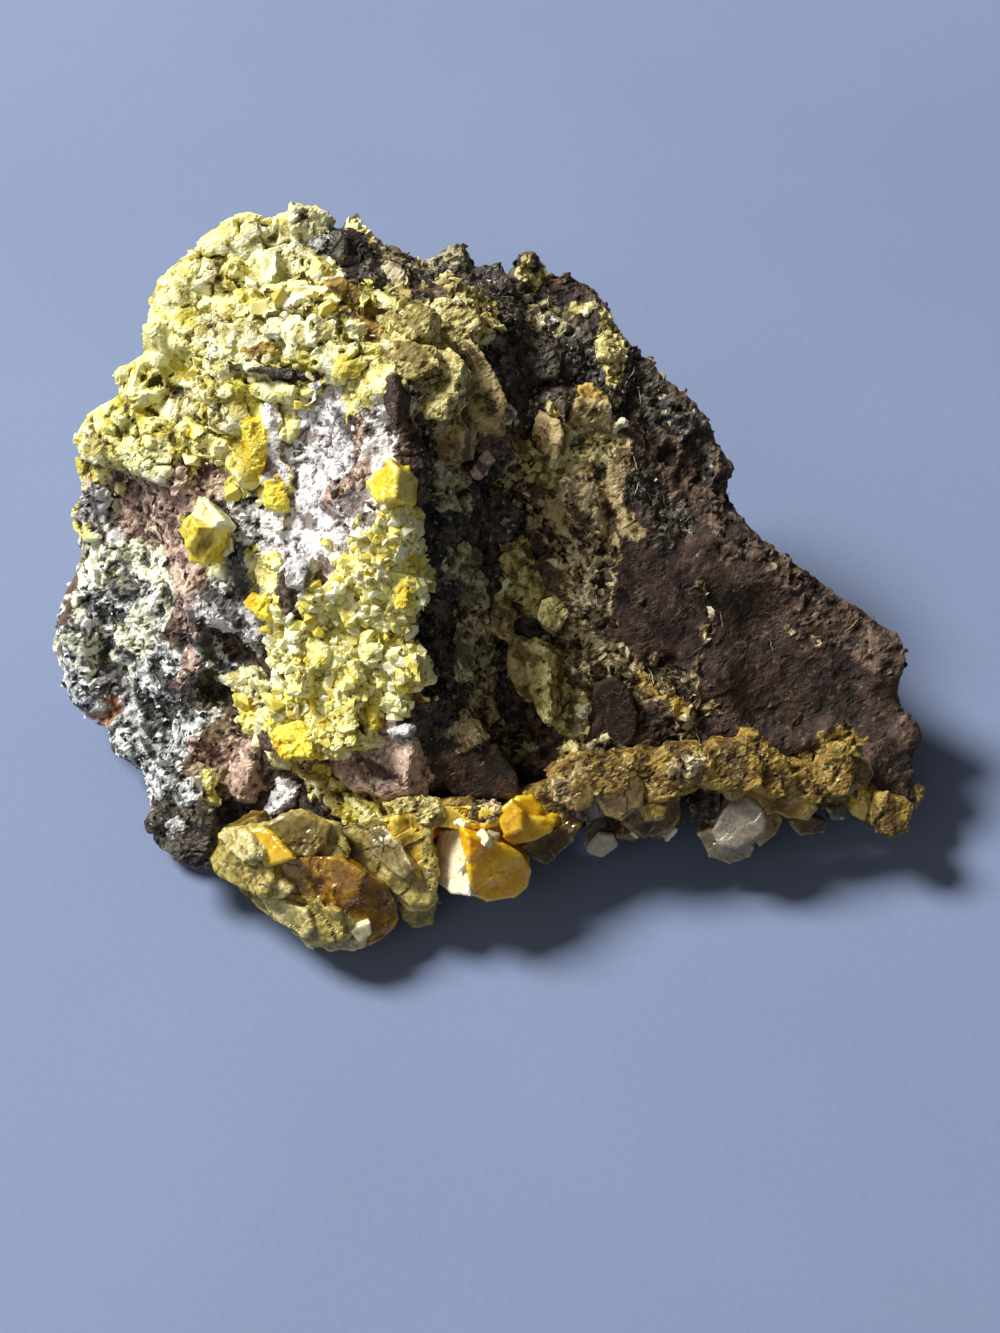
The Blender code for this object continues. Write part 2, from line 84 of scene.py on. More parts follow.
@dataclass(frozen=True)
class Viewpoint:
    """The main camera, which looks down on the arris.

    Attributes:
        target: Point that the camera looks at, in millimetres.
        elevation: Angle above the horizon, in degrees.
        distance: From the camera to the target, in millimetres.
        lens: Focal length in millimetres.
        sensor: Size of the sensor's long side in millimetres.
        wide: Width of the view in pixels.
        high: Height of the view in pixels.
    """

    target: Vector = field(default_factory=lambda: Vector((1.0, -9.0, 15.0)))
    elevation: float = 55.0
    distance: float = 182.0
    lens: float = 65.0
    sensor: float = 36.0
    wide: float = 1000.0
    high: float = 1333.0

    @property
    def sight(self) -> Vector:
        """Direction that the camera looks in."""
        angle = math.radians(self.elevation)
        return Vector((0.0, math.cos(angle), -math.sin(angle)))

    @property
    def eye(self) -> Vector:
        """Where the camera stands, in millimetres."""
        return self.target - self.sight * self.distance

    def ray(self, pixel: Pixel) -> Vector:
        """Direction of the sight line through a pixel.

        Args:
            pixel: Place in the view, from its upper left corner.

        Returns:
            The direction, of length one.
        """
        scale = self.sensor / self.lens / self.high
        right = Vector((1.0, 0.0, 0.0))
        up = right.cross(self.sight)
        across = (pixel[0] - self.wide / 2) * scale
        down = (pixel[1] - self.high / 2) * scale
        return (self.sight + right * across - up * down).normalized()

    def make(self) -> bpy.types.Object:
        """Adds the camera and makes it the scene's own.

        Returns:
            The camera object.
        """
        data = bpy.data.cameras.new("main_camera")
        data.lens = self.lens
        data.sensor_width = self.sensor
        data.clip_start = 0.01
        data.clip_end = 10.0
        camera = link("main_camera", data)
        camera.location = self.eye * MM
        camera.rotation_euler = self.sight.to_track_quat("-Z", "Y").to_euler()
        bpy.context.scene.camera = camera
        return camera


# --- noise


class Seed(IntEnum):
    """Patterns of noise, each with a number of its own."""

    RIMS = 5
    FRAYS = 9
    CHIPS = 21
    BLOCKS = 31
    SEAMS = 33
    PITS = 35
    DRIFTS = 40
    GRAINS = 43
    DUST = 57
    GEM_BLOCKS = 61
    GEM_GRAINS = 67
    GROOVES = 71
    GEM_PATCHES = 77
    GEM_DENTS = 83
    GEM_STEPS = 87
    BENDS = 91
    TEARS = 97
    WIDE_STRAY = 101
    NARROW_STRAY = 111


def hashed(cell: np.ndarray, seed: int) -> np.ndarray:
    """One random number for each cell of a grid.

    Args:
        cell: Whole numbers, three for each cell.
        seed: Which set of numbers.

    Returns:
        Numbers from 0 to 1.
    """
    mask = 0xFFFFFFFF
    mixed = cell[:, 0] * 374761393 + cell[:, 1] * 668265263 + cell[:, 2] * 1440662683 + seed * 1274126177
    mixed = mixed & mask
    mixed = ((mixed ^ (mixed >> 13)) * 1274126177) & mask
    mixed = ((mixed ^ (mixed >> 15)) * 1103515245) & mask
    return (mixed ^ (mixed >> 16)) / mask


def soft_noise(points: np.ndarray, size: float, seed: int) -> np.ndarray:
    """Smooth noise.

    Args:
        points: Places in millimetres.
        size: How wide one swell is, in millimetres.
        seed: Which pattern.

    Returns:
        Numbers from -1 to 1.
    """
    place = points / size + seed * 7.31
    base = np.floor(place).astype(np.int64)
    part = place - base
    ease = part * part * (3 - 2 * part)
    total = np.zeros(len(points))
    for corner in itertools.product((0, 1), repeat=3):
        share = np.ones(len(points))
        for axis in range(3):
            share *= ease[:, axis] if corner[axis] else 1 - ease[:, axis]
        total += share * hashed(base + np.array(corner), seed)
    return 2 * total - 1


def fractal(points: np.ndarray, size: float, seed: int, octaves: int = 3) -> np.ndarray:
    """Noise with finer noise laid over it.

    Args:
        points: Places in millimetres.
        size: How wide the largest swell is, in millimetres.
        seed: Which pattern.
        octaves: How many layers.

    Returns:
        Numbers from about -1 to 1.
    """
    total = np.zeros(len(points))
    weight = 1.0
    reach = 0.0
    for layer in range(octaves):
        total += weight * soft_noise(points, size, seed + layer)
        reach += weight
        weight *= 0.55
        size *= 0.47
    return total * 1.4 / reach


@dataclass
class Cells:
    """Cell noise at some points.

    Attributes:
        near: Distance to the nearest site, as a share of the cell size.
        edge: How much further the second site is.
        offset: From the nearest site to the point.
        key: Three random numbers of the nearest site's cell.
    """

    near: np.ndarray
    edge: np.ndarray
    offset: np.ndarray
    key: np.ndarray

    @classmethod
    def at(cls, points: np.ndarray, size: float, seed: int) -> "Cells":
        """Cell noise at some points.

        Args:
            points: Places in millimetres.
            size: Width of a cell in millimetres.
            seed: Which pattern.

        Returns:
            The cells that the points lie in.
        """
        place = points / size + seed * 3.17
        base = np.floor(place).astype(np.int64)
        first = np.full(len(points), 9.0)
        second = np.full(len(points), 9.0)
        offset = np.zeros_like(place)
        home = np.zeros_like(base)
        for step in itertools.product((-1, 0, 1), repeat=3):
            cell = base + np.array(step)
            jitter = np.stack([hashed(cell, seed + k) for k in range(3)], axis=1)
            gap = place - cell - jitter
            far = np.einsum("ij,ij->i", gap, gap)
            closer = far < first
            second = np.where(closer, first, np.minimum(second, far))
            first = np.where(closer, far, first)
            offset[closer] = gap[closer]
            home[closer] = cell[closer]
        key = np.stack([hashed(home, seed + 10 + k) for k in range(3)], axis=1)
        near = np.sqrt(first)
        return cls(near, np.sqrt(second) - near, offset, key)

    def flats(self, tilt: float = 1.3) -> np.ndarray:
        """One tilted flat for each cell, as heights from about -0.5 to 0.5; tilt says how steep they may lie."""
        lean = np.einsum("ij,ij->i", self.key - 0.5, self.offset)
        return (self.key[:, 0] - 0.5) * 0.7 + tilt * lean

    def bumps(self) -> np.ndarray:
        """One rounded grain for each cell, between low seams, as heights from 0 to 1."""
        return np.clip(self.edge * 2.2, 0, 1) ** 0.7 * (0.45 + 0.55 * self.key[:, 1])


def smooth_step(values: np.ndarray, low: float, high: float) -> np.ndarray:
    """Eases values from 0 at low to 1 at high."""
    share = np.clip((values - low) / (high - low), 0, 1)
    return share * share * (3 - 2 * share)


# --- minerals


def rows_of(text: str) -> list[tuple[str, list[float], tuple[Pixel, ...]]]:
    """Reads a table, in which a row has a name, its numbers and its places in the main view as x,y.

    Args:
        text: One row to a line. Lines that start with # are headings.

    Returns:
        Name, numbers and places of each row.
    """
    rows = []
    for line in text.strip().splitlines():
        name, *words = line.split()
        if name == "#":
            continue
        numbers = [float(word) for word in words if "," not in word]
        places = tuple(tuple(map(float, word.split(","))) for word in words if "," in word)
        rows.append((name, numbers, places))
    return rows


@dataclass(frozen=True)
class Look:
    """How a mineral looks and how its broken skin stands up.

    Attributes:
        deep: Colour of its dark tones and of its hollows, which are darkened towards it as painted shade.
        middle: Colour of most of it.
        pale: Colour of its high grains.
        speck: Colour of its stray specks.
        specks: Share of the surface that the specks take.
        roughness: How matt it is.
        chip: Depth of its large broken flats, in millimetres.
        block: Depth of its middle blocks.
        grain: Height of its fine grains.
        contrast: How far grains differ in tone.
        veins: How strongly fine threads of the speck colour show.
        blot: Colour of the stains.
        blots: Where the stains begin, from 0.5 for half of it up to 0.7 for few; none at 1.
    """

    deep: Colour
    middle: Colour
    pale: Colour
    speck: Colour
    specks: float = 0.1
    roughness: float = 0.75
    chip: float = 0.3
    block: float = 0.2
    grain: float = 0.12
    contrast: float = 1.0
    veins: float = 0.0
    blot: Colour = (0.0, 0.0, 0.0)
    blots: float = 1.0


class Mineral(Enum):
    """What a stretch of the skin is made of."""

    GOSSAN = Look((0.008, 0.004, 0.003), (0.050, 0.028, 0.018), (0.16, 0.105, 0.07), (0.26, 0.19, 0.12), 0.04, 0.75,
                  0.36, 0.24, 0.18, 1.5, 0.4, (0.013, 0.008, 0.006), 0.57)
    MAROON = Look((0.006, 0.003, 0.002), (0.032, 0.015, 0.009), (0.078, 0.043, 0.029), (0.17, 0.12, 0.08), 0.02, 0.7,
                  0.20, 0.09, 0.06, 1.1, 0.55, (0.014, 0.008, 0.005), 0.58)
    # This black mineral is also laid in cracks, cavities and beside the arris as painted shade.
    SOOT = Look((0.003, 0.002, 0.002), (0.018, 0.014, 0.009), (0.085, 0.068, 0.048), (0.36, 0.30, 0.20), 0.04, 0.5,
                0.50, 0.28, 0.16, 1.4, 0.4, (0.07, 0.052, 0.030), 0.62)
    MAUVE = Look((0.080, 0.038, 0.030), (0.46, 0.31, 0.25), (0.66, 0.50, 0.40), (0.88, 0.78, 0.58), 0.08, 0.7,
                 0.34, 0.26, 0.20, 1.3, 0.5, (0.10, 0.048, 0.040), 0.57)
    SALT = Look((0.010, 0.012, 0.012), (0.36, 0.38, 0.37), (0.95, 0.96, 0.94), (0.014, 0.016, 0.014), 0.10, 0.6,
                0.44, 0.34, 0.20, 2.3, 0.4, (0.020, 0.024, 0.020), 0.545)
    FROST = Look((0.34, 0.29, 0.28), (0.90, 0.89, 0.90), (0.97, 0.97, 0.98), (0.16, 0.10, 0.09), 0.03, 0.55,
                 0.50, 0.30, 0.10, 1.2, 0.4, (0.17, 0.12, 0.11), 0.55)
    YELLOW = Look((0.30, 0.23, 0.014), (0.88, 0.82, 0.26), (0.96, 0.95, 0.54), (0.20, 0.15, 0.02), 0.02, 0.6,
                  1.00, 0.34, 0.06, 1.0, 0.4, (0.62, 0.53, 0.06), 0.56)
    CANARY = Look((0.46, 0.27, 0.005), (0.88, 0.68, 0.030), (0.95, 0.87, 0.16), (0.40, 0.24, 0.02), 0.04, 0.5,
                  0.60, 0.40, 0.16, 1.1, 0.2, (0.74, 0.46, 0.01), 0.57)
    CREAM = Look((0.20, 0.15, 0.03), (0.80, 0.77, 0.38), (0.96, 0.95, 0.72), (0.10, 0.08, 0.03), 0.03, 0.6,
                 0.85, 0.30, 0.07, 1.2, 0.4, (0.50, 0.44, 0.12), 0.57)
    OLIVE = Look((0.075, 0.050, 0.008), (0.46, 0.38, 0.105), (0.80, 0.73, 0.34), (0.10, 0.07, 0.02), 0.04, 0.6,
                 0.45, 0.36, 0.24, 1.5, 0.3, (0.20, 0.15, 0.03), 0.56)
    OCHRE = Look((0.04, 0.018, 0.002), (0.30, 0.18, 0.020), (0.62, 0.45, 0.09), (0.10, 0.05, 0.02), 0.06, 0.65,
                 0.40, 0.34, 0.22, 1.4, 0.3, (0.10, 0.055, 0.008), 0.56)
    TAN = Look((0.026, 0.014, 0.005), (0.38, 0.27, 0.11), (0.76, 0.66, 0.40), (0.03, 0.02, 0.008), 0.04, 0.65,
               0.50, 0.44, 0.28, 1.8, 0.5, (0.045, 0.030, 0.014), 0.50)
    SLATE = Look((0.040, 0.036, 0.034), (0.30, 0.285, 0.28), (0.72, 0.70, 0.70), (0.90, 0.88, 0.85), 0.07, 0.6,
                 0.38, 0.28, 0.20, 1.7, 0.5, (0.055, 0.05, 0.048), 0.54)
    DRUSE = Look((0.58, 0.43, 0.030), (0.89, 0.81, 0.30), (0.96, 0.93, 0.58), (0.14, 0.08, 0.01), 0.04, 0.55,
                 0.35, 0.50, 0.34, 1.2, 0.2, (0.70, 0.50, 0.03), 0.56)
    RUST = Look((0.05, 0.018, 0.008), (0.28, 0.11, 0.05), (0.50, 0.28, 0.17), (0.60, 0.50, 0.40), 0.08, 0.7,
                0.25, 0.20, 0.12)
    BRONZE = Look((0.06, 0.036, 0.008), (0.40, 0.285, 0.10), (0.68, 0.54, 0.26), (0.60, 0.52, 0.30), 0.03, 0.55,
                  0.30, 0.20, 0.14, 1.2, 0.4, (0.11, 0.075, 0.024), 0.55)
    LICHEN = Look((0.035, 0.028, 0.010), (0.27, 0.225, 0.095), (0.60, 0.56, 0.36), (0.80, 0.78, 0.58), 0.05, 0.6,
                  0.45, 0.36, 0.24, 1.8, 0.5, (0.10, 0.085, 0.035), 0.54)
    CHALK = Look((0.10, 0.10, 0.05), (0.80, 0.81, 0.57), (0.94, 0.95, 0.82), (0.03, 0.03, 0.02), 0.05, 0.6,
                 0.50, 0.34, 0.14, 1.9, 0.5, (0.15, 0.15, 0.10), 0.56)
    HONEY = Look((0.036, 0.019, 0.003), (0.21, 0.125, 0.022), (0.43, 0.29, 0.055), (0.56, 0.45, 0.15), 0.03, 0.5,
                 0.35, 0.24, 0.10, 1.3, 0.5, (0.085, 0.048, 0.010), 0.54)


MINERALS: tuple[Mineral, ...] = tuple(Mineral)


@dataclass(frozen=True)
class Stroke:
    """A stretch of skin that is one mineral.

    Attributes:
        mineral: What it is made of.
        width: How far it reaches to each side, in millimetres.
        route: Points of the main view that it passes through.
        strength: How fully it covers what lies under it.
    """

    mineral: Mineral
    width: float
    route: tuple[Pixel, ...]
    strength: float = 1.0

    @classmethod
    def table(cls, text: str) -> tuple["Stroke", ...]:
        """Reads strokes from rows of mineral, width, strength if it isn't 1, and route; the lowest first."""
        return tuple(cls(Mineral[name], numbers[0], route, *numbers[1:]) for name, numbers, route in rows_of(text))


@dataclass(frozen=True)
class Groove:
    """A line along which the skin is sunk, or raised where its depth is below zero.

    Attributes:
        depth: How deep it is, in millimetres.
        width: How far it reaches to each side, in millimetres.
        route: Points of the main view that it passes through.
    """

    depth: float
    width: float
    route: tuple[Pixel, ...]


# The black strokes along the valley beside the arris, from 445,430 down to 455,740 and from 530,440 to 500,680, paint
# the shade of the arris there over black rock; the black stroke at 212,695 is painted shade in the hollow there, and
# the ochre stroke from 128,400 to 151,362 paints shade in the shoulder crease as well as ochre.
STROKES: tuple[Stroke, ...] = Stroke.table("""
# Bare right face.
MAROON 6 660,480 700,560 720,640 760,690
MAROON 4.5 800,680 860,720 880,780
SOOT 3 .85 625,345 650,395 690,450 660,500
GOSSAN 2.2 640,430 700,480 740,540
GOSSAN 2 .8 785,562 830,600 880,640
LICHEN .5 .5 755,552 768,560 780,572
TAN .3 .7 793,634 808,640 822,650 838,664
MAROON 1.5 .9 626,520 628,570 630,620
TAN 1.7 .9 618,660 650,682 698,714
TAN .5 .8 700,580 712,620 694,650 688,700
OCHRE .8 .7 640,676 680,712
OLIVE .5 671,453 712,465
MAROON 2.4 603,705 612,745
# Valley between the arris and the right face.
SOOT 3.4 445,430 448,560 448,680 455,740
SOOT 2.8 530,440 490,520 510,590 500,680
BRONZE 3.4 545,460 575,500 580,560
TAN 2.6 585,560 580,620 560,690 590,660
TAN 1.8 .85 470,575 475,620 490,700 475,730
TAN .9 520,470 528,520 545,560 530,600
LICHEN 1.5 .8 455,560 480,600 488,650 476,700
LICHEN 1.6 .8 455,740 480,745 510,735
OLIVE 1.4 430,800 520,812 560,790
BRONZE 1.2 .6 604,425 624,455 612,500 628,530
OLIVE 2 543,415 543,465
OLIVE 2 600,395 590,440
OLIVE 1.5 512,552 520,590 552,620 530,690
OLIVE 1.5 565,700 572,770
LICHEN 2.8 395,345 430,380 448,430 452,480
BRONZE 2.6 450,350 475,385 490,412
LICHEN 1 .8 392,372 408,392
# Far upper edge.
SOOT 4.2 490,290 540,340 500,380 570,390 460,262
SOOT 2.6 338,245 360,265 380,275
LICHEN 1.2 .8 385,250 462,258
LICHEN 1 370,246 378,256
OLIVE 1.4 394,272 400,296
OLIVE .9 425,287 442,282
OLIVE 1.2 525,270 542,272 545,280
LICHEN 1.4 .8 540,322 566,322
CREAM .7 584,310 590,312
OLIVE 1.9 608,330 622,362
OLIVE 2.6 385,320 430,322 475,318
OLIVE 1.6 .7 400,345 420,350
CREAM 1.2 .8 398,352 452,368
# Cap.
YELLOW 5 175,320 260,250 310,220 300,330 220,340
CREAM 3 258,262 300,262 325,270
CREAM 2.6 250,340 300,310 340,340 365,360
CREAM 1.6 .6 168,300 215,330 235,352
HONEY 2 340,286 362,298 382,312
SOOT 2.4 338,243 352,258 372,280
CREAM .8 308,238 322,248
# Shoulder.
YELLOW 5 110,400 170,400 120,440 190,430
YELLOW 3.4 210,390 260,400 330,395 365,385
OCHRE .9 .8 128,400 142,388 151,362
CANARY .6 184,428 168,462
YELLOW 1.6 78,440 92,485 92,520
CHALK 1.2 88,500 96,545
# Purple hollow and what lies in it.
MAUVE 2.6 110,480 150,505 195,480
MAUVE 2.8 130,520 160,560 185,585
SLATE 1.5 95,500 112,530 120,550
SALT 2.4 .9 245,500 262,540 232,585
SLATE 1.2 232,498 246,520
CANARY 1.3 252,425 262,470 270,508
CANARY 1.2 292,428 286,470 290,500
YELLOW 1.5 262,555 256,612
CREAM 1 .7 215,570 225,590
# Speckled left flank.
CHALK 3.2 98,560 125,580 150,612 100,610
SLATE .5 .8 96,572 128,612 148,640
SLATE .5 .7 120,566 158,604
SALT 4.4 90,650 130,650 170,690 120,700 185,760
SALT 3 160,775 200,740
CHALK 2.2 .9 78,640 108,652 140,634
SLATE .5 .8 84,612 116,646 138,676
SLATE 1.3 92,676 118,690
RUST 1.2 98,700 112,716
MAUVE 1.2 .9 190,588 203,640 194,690
SLATE 2.3 222,602 250,628 262,620
SALT 1 .7 205,640 222,664
SOOT 1.6 212,695 232,690
# White quartz patch.
FROST 3.2 308,420 335,470 345,520 330,550 290,540 312,440
FROST 2.2 .7 385,415 370,440 372,540 340,590
SLATE .9 338,412 345,430
MAUVE .9 360,425 352,470 328,500
SLATE 1.1 300,566 292,580
# Crystal field beside the arris.
DRUSE 4.2 380,575 345,610 320,650 375,650 350,715 305,700
DRUSE 1.7 398,520 402,560 406,640 402,700
DRUSE 2 255,712 290,735 318,750
CREAM 1.2 .9 234,688 252,682 264,706
OCHRE .7 412,560 415,640 417,700
SOOT .7 256,646 276,654
# Foot of the left face.
SLATE .7 392,724 408,730
MAROON 2.5 440,770 485,775 512,790
MAUVE 2 228,745 240,785 205,770
FROST 1.1 .9 250,805 288,786
SALT 2 .8 170,800 200,815
SOOT 2.6 .8 172,822 196,836
OLIVE 1.6 305,770 335,790 362,815
CREAM 1.2 308,762 350,800 372,822
MAUVE .5 .8 262,776 244,806 238,826
OCHRE 1.6 385,820 420,850
MAUVE 2.6 345,770 385,745 396,782 370,790
# Foot of the right face.
OLIVE 1.5 560,770 620,775 680,755
HONEY 2.4 600,765 650,770 700,765 760,785 830,775 842,750
HONEY 1.8 850,795 905,800
BRONZE .7 .8 742,742 756,762
OLIVE .7 .9 838,748 846,770
""")

GROOVES: tuple[Groove, ...] = (
    Groove(0.9, 0.8, ((244, 368), (280, 374), (325, 377))),
    Groove(0.8, 1.0, ((128, 402), (142, 388), (152, 362))),
    Groove(0.7, 0.6, ((184, 428), (168, 462))),
    Groove(1.0, 1.0, ((208, 690), (232, 700))),
    Groove(0.8, 0.8, ((262, 652), (286, 658))),
    Groove(0.7, 0.5, ((343, 330), (366, 332))),
    Groove(0.6, 0.5, ((188, 306), (200, 312))),
    Groove(0.8, 0.9, ((654, 665), (668, 664))),
    Groove(0.6, 0.7, ((600, 680), (585, 720))),
    Groove(0.9, 1.2, ((430, 420), (432, 560), (430, 680))),
    Groove(0.8, 1.0, ((470, 460), (500, 500), (480, 560))),
    Groove(0.8, 0.8, ((600, 470), (610, 520), (600, 590))),
    Groove(0.7, 0.6, ((540, 510), (560, 560))),
    Groove(-0.5, 0.8, ((190, 590), (205, 645), (195, 690))),
    Groove(-0.5, 0.7, ((620, 664), (655, 690), (690, 716))),
    Groove(0.6, 0.7, ((245, 820), (285, 832))),
    Groove(-0.8, 2.6, ((98, 545), (88, 590), (85, 640), (94, 690))),
    Groove(-0.6, 2.2, ((120, 735), (150, 765))),
    Groove(2.0, 3.0, ((645, 372), (690, 425), (735, 480))),
    Groove(-1.2, 2.6, ((166, 300), (212, 252), (242, 238))),
    Groove(-1.1, 2.4, ((80, 630), (82, 655), (90, 685))),
    Groove(0.8, 2.0, ((502, 272), (540, 278), (565, 284))),
    Groove(-0.6, 3.0, ((885, 660), (892, 710), (898, 750))),
)


@dataclass(frozen=True)
class Drift:
    """Patches of a mineral on the sides that the strokes don't reach.

    Attributes:
        mineral: What they are made of.
        centre: Middle of the stretch where they lie, in millimetres.
        reach: How far from there they lie.
        size: How wide a patch is.
        share: How much of the stretch they take, from 0 to 1.
    """

    mineral: Mineral
    centre: Colour
    reach: float
    size: float
    share: float


DRIFTS: tuple[Drift, ...] = (
    Drift(Mineral.MAROON, (20, 10, 10), 30, 9, 0.55),
    Drift(Mineral.SOOT, (2, 20, 20), 22, 6, 0.50),
    Drift(Mineral.TAN, (0, 20, 10), 28, 5, 0.35),
    Drift(Mineral.SALT, (-25, 8, 6), 16, 6, 0.60),
    Drift(Mineral.SLATE, (-12, 20, 8), 16, 5, 0.40),
    Drift(Mineral.MAUVE, (-16, 16, 14), 14, 5, 0.40),
    Drift(Mineral.YELLOW, (-20, 18, 24), 12, 5, 0.65),
    Drift(Mineral.CANARY, (-10, 22, 24), 12, 3, 0.35),
    Drift(Mineral.OLIVE, (10, 16, 16), 18, 4, 0.40),
    Drift(Mineral.CREAM, (-26, 14, 18), 10, 3, 0.40),
    Drift(Mineral.OCHRE, (26, 0, 4), 14, 4, 0.40),
)


@dataclass
class Route:
    """A stroke or groove as it lies on the stone.

    Attributes:
        points: Places in millimetres.
        normals: The way the stone faces at each.
    """

    points: np.ndarray
    normals: np.ndarray

    def distance(self, points: np.ndarray, normals: np.ndarray) -> tuple[np.ndarray, np.ndarray]:
        """How far points lie from the route.

        Args:
            points: Places in millimetres.
            normals: The way the skin faces at each.

        Returns:
            The distances, and how well each point faces the same way as the nearest part of the route.
        """
        best = np.full(len(points), 1e9)
        facing = np.zeros(len(points))
        count = len(self.points)
        for k in range(max(count - 1, 1)):
            start = self.points[k]
            run = self.points[min(k + 1, count - 1)] - start
            along = np.clip((points - start) @ run / max(run @ run, 1e-9), 0, 1)
            gap = np.linalg.norm(points - start - along[:, None] * run, axis=1)
            other = self.normals[min(k + 1, count - 1)]
            normal = self.normals[k] * (1 - along[:, None]) + other * along[:, None]
            closer = gap < best
            best = np.where(closer, gap, best)
            facing = np.where(closer, np.einsum("ij,ij->i", normal, normals), facing)
        return best, facing


NEAR_REACH = 2.4
FADE_REACH = 2.6


class Atlas:
    """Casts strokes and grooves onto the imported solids, and paints skins with them."""

    def __init__(self, view: Viewpoint) -> None:
        """Casts every stroke and groove.

        Args:
            view: The main camera.
        """
        self.view = view
        corners = []
        faces = []
        for node in frame["nodes"].values():
            first = len(corners)
            corners += [vert.co / MM for vert in node.data.vertices]
            faces += [[first + index for index in face.vertices] for face in node.data.polygons]
        self.tree = BVHTree.FromPolygons(corners, faces)
        self.strokes = [(stroke, self.cast(stroke.route)) for stroke in STROKES]
        self.grooves = [(groove, self.cast(groove.route)) for groove in GROOVES]

    def cast(self, route: tuple[Pixel, ...]) -> Route:
        """Lays a route on the solids.

        Args:
            route: Points of the main view.

        Returns:
            The route on the stone.
        """
        points = []
        normals = []
        for pixel in route:
            place, normal, _, _ = self.tree.ray_cast(self.view.eye, self.view.ray(pixel))
            if place is None:
                log.warning("no stone at %s", pixel)
                continue
            points.append(place)
            normals.append(self.broad_normal(place, normal))
        return Route(np.array(points, float).reshape(-1, 3), np.array(normals, float).reshape(-1, 3))

    def hit(self, pixels: tuple[Pixel, ...]) -> Vector | None:
        """The stone behind the middle of some points of the main view, or behind one of them.

        Args:
            pixels: Points of the main view.

        Returns:
            The place in millimetres, or None where there is no stone.
        """
        middle = tuple(sum(part) / len(pixels) for part in zip(*pixels))
        for pixel in (middle, *pixels):
            place = self.tree.ray_cast(self.view.eye, self.view.ray(pixel))[0]
            if place is not None:
                return place
        return None

    def broad_normal(self, place: Vector, normal: Vector) -> Vector:
        """The way the stone faces round a place, over a few millimetres.

        Args:
            place: Middle, in millimetres.
            normal: The face's own normal there.

        Returns:
            The mean normal.
        """
        total = normal.copy()
        for _, other, _, gap in self.tree.find_nearest_range(place, NEAR_REACH):
            if other.dot(normal) > 0:
                total += other * (FADE_REACH - gap)
        return total.normalized()

    def shares(self, points: np.ndarray, normals: np.ndarray, ground: Mineral) -> np.ndarray:
        """How much of each mineral lies at each point.

        Args:
            points: Places in millimetres.
            normals: The way the skin faces there, over a millimetre or two.
            ground: What lies under everything else.

        Returns:
            One column for each mineral, which add up to 1.
        """
        made = np.zeros((len(points), len(MINERALS)))
        made[:, MINERALS.index(ground)] = 1
        rear = smooth_step(normals @ np.array(self.view.sight), -0.35, 0.1)
        for number, drift in enumerate(DRIFTS):
            swell = 0.5 + 0.5 * fractal(points, drift.size, Seed.DRIFTS + number)
            gap = np.linalg.norm(points - np.array(drift.centre), axis=1) / drift.reach
            cover = smooth_step(swell, 0.95 - drift.share, 1.05 - drift.share) * smooth_step(gap, 1.1, 0.7)
            self.lay(made, drift.mineral, cover * rear)
        wobble = fractal(points, 2.6, Seed.RIMS, 4) * 0.42 + fractal(points, 0.7, Seed.FRAYS, 2) * 0.2
        bent = points + self.drift(points)
        for stroke, route in self.strokes:
            if len(route.points) == 0:
                continue
            gap, facing = route.distance(bent, normals)
            away = gap / stroke.width + wobble
            cover = smooth_step(away, 1.08, 0.86) * smooth_step(facing, 0.1, 0.42)
            self.lay(made, stroke.mineral, cover * stroke.strength)
        return made

    @staticmethod
    def drift(points: np.ndarray) -> np.ndarray:
        """How far the edges of strokes stray, so that neighbouring minerals run into each other.

        Args:
            points: Places in millimetres.

        Returns:
            Moves in millimetres.
        """
        wide = [fractal(points, 3.4, Seed.WIDE_STRAY + axis, 2) * 0.75 for axis in range(3)]
        narrow = [fractal(points, 1.2, Seed.NARROW_STRAY + axis, 2) * 0.45 for axis in range(3)]
        return np.stack(wide, axis=1) + np.stack(narrow, axis=1)

    @staticmethod
    def lay(made: np.ndarray, mineral: Mineral, cover: np.ndarray) -> None:
        """Lays a mineral over the shares that are there, as fully as it covers each point."""
        made *= (1 - cover)[:, None]
        made[:, MINERALS.index(mineral)] += cover

    def sunk(self, points: np.ndarray, normals: np.ndarray) -> np.ndarray:
        """How far the grooves sink the skin at each point.

        Args:
            points: Places in millimetres.
            normals: The way the skin faces there.

        Returns:
            Depths in millimetres.
        """
        depth = np.zeros(len(points))
        wobble = 1 + 0.35 * fractal(points, 1.6, Seed.GROOVES, 2)
        for groove, route in self.grooves:
            if len(route.points) == 0:
                continue
            gap, facing = route.distance(points, normals)
            share = smooth_step(gap * wobble, groove.width * 1.25, groove.width * 0.25)
            depth += groove.depth * share * smooth_step(facing, 0.0, 0.35)
        return depth


# --- skin mesh


def packed(nodes: tuple[str, ...]) -> bmesh.types.BMesh:
    """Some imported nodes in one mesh, in millimetres.

    Args:
        nodes: Their names.

    Returns:
        The mesh, which the caller frees.
    """
    solid = bmesh.new()
    for node in nodes:
        solid.from_mesh(frame["nodes"][node].data)
    bmesh.ops.remove_doubles(solid, verts=solid.verts, dist=1e-6)
    bmesh.ops.scale(solid, vec=(1 / MM, 1 / MM, 1 / MM), verts=solid.verts)
    return solid


def link(name: str, data: bpy.types.ID) -> bpy.types.Object:
    """Puts a mesh, light or camera in the scene.

    Args:
        name: Name of its object.
        data: What the object shows.

    Returns:
        The object.
    """
    obj = bpy.data.objects.new(name, data)
    bpy.context.scene.collection.objects.link(obj)
    return obj


def attach(mesh: bpy.types.Mesh, name: str, values: np.ndarray) -> None:
    """Stores a number at each point of a mesh under a name."""
    layer = mesh.attributes.new(name, "FLOAT", "POINT")
    layer.data.foreach_set("value", values.astype(np.float32))


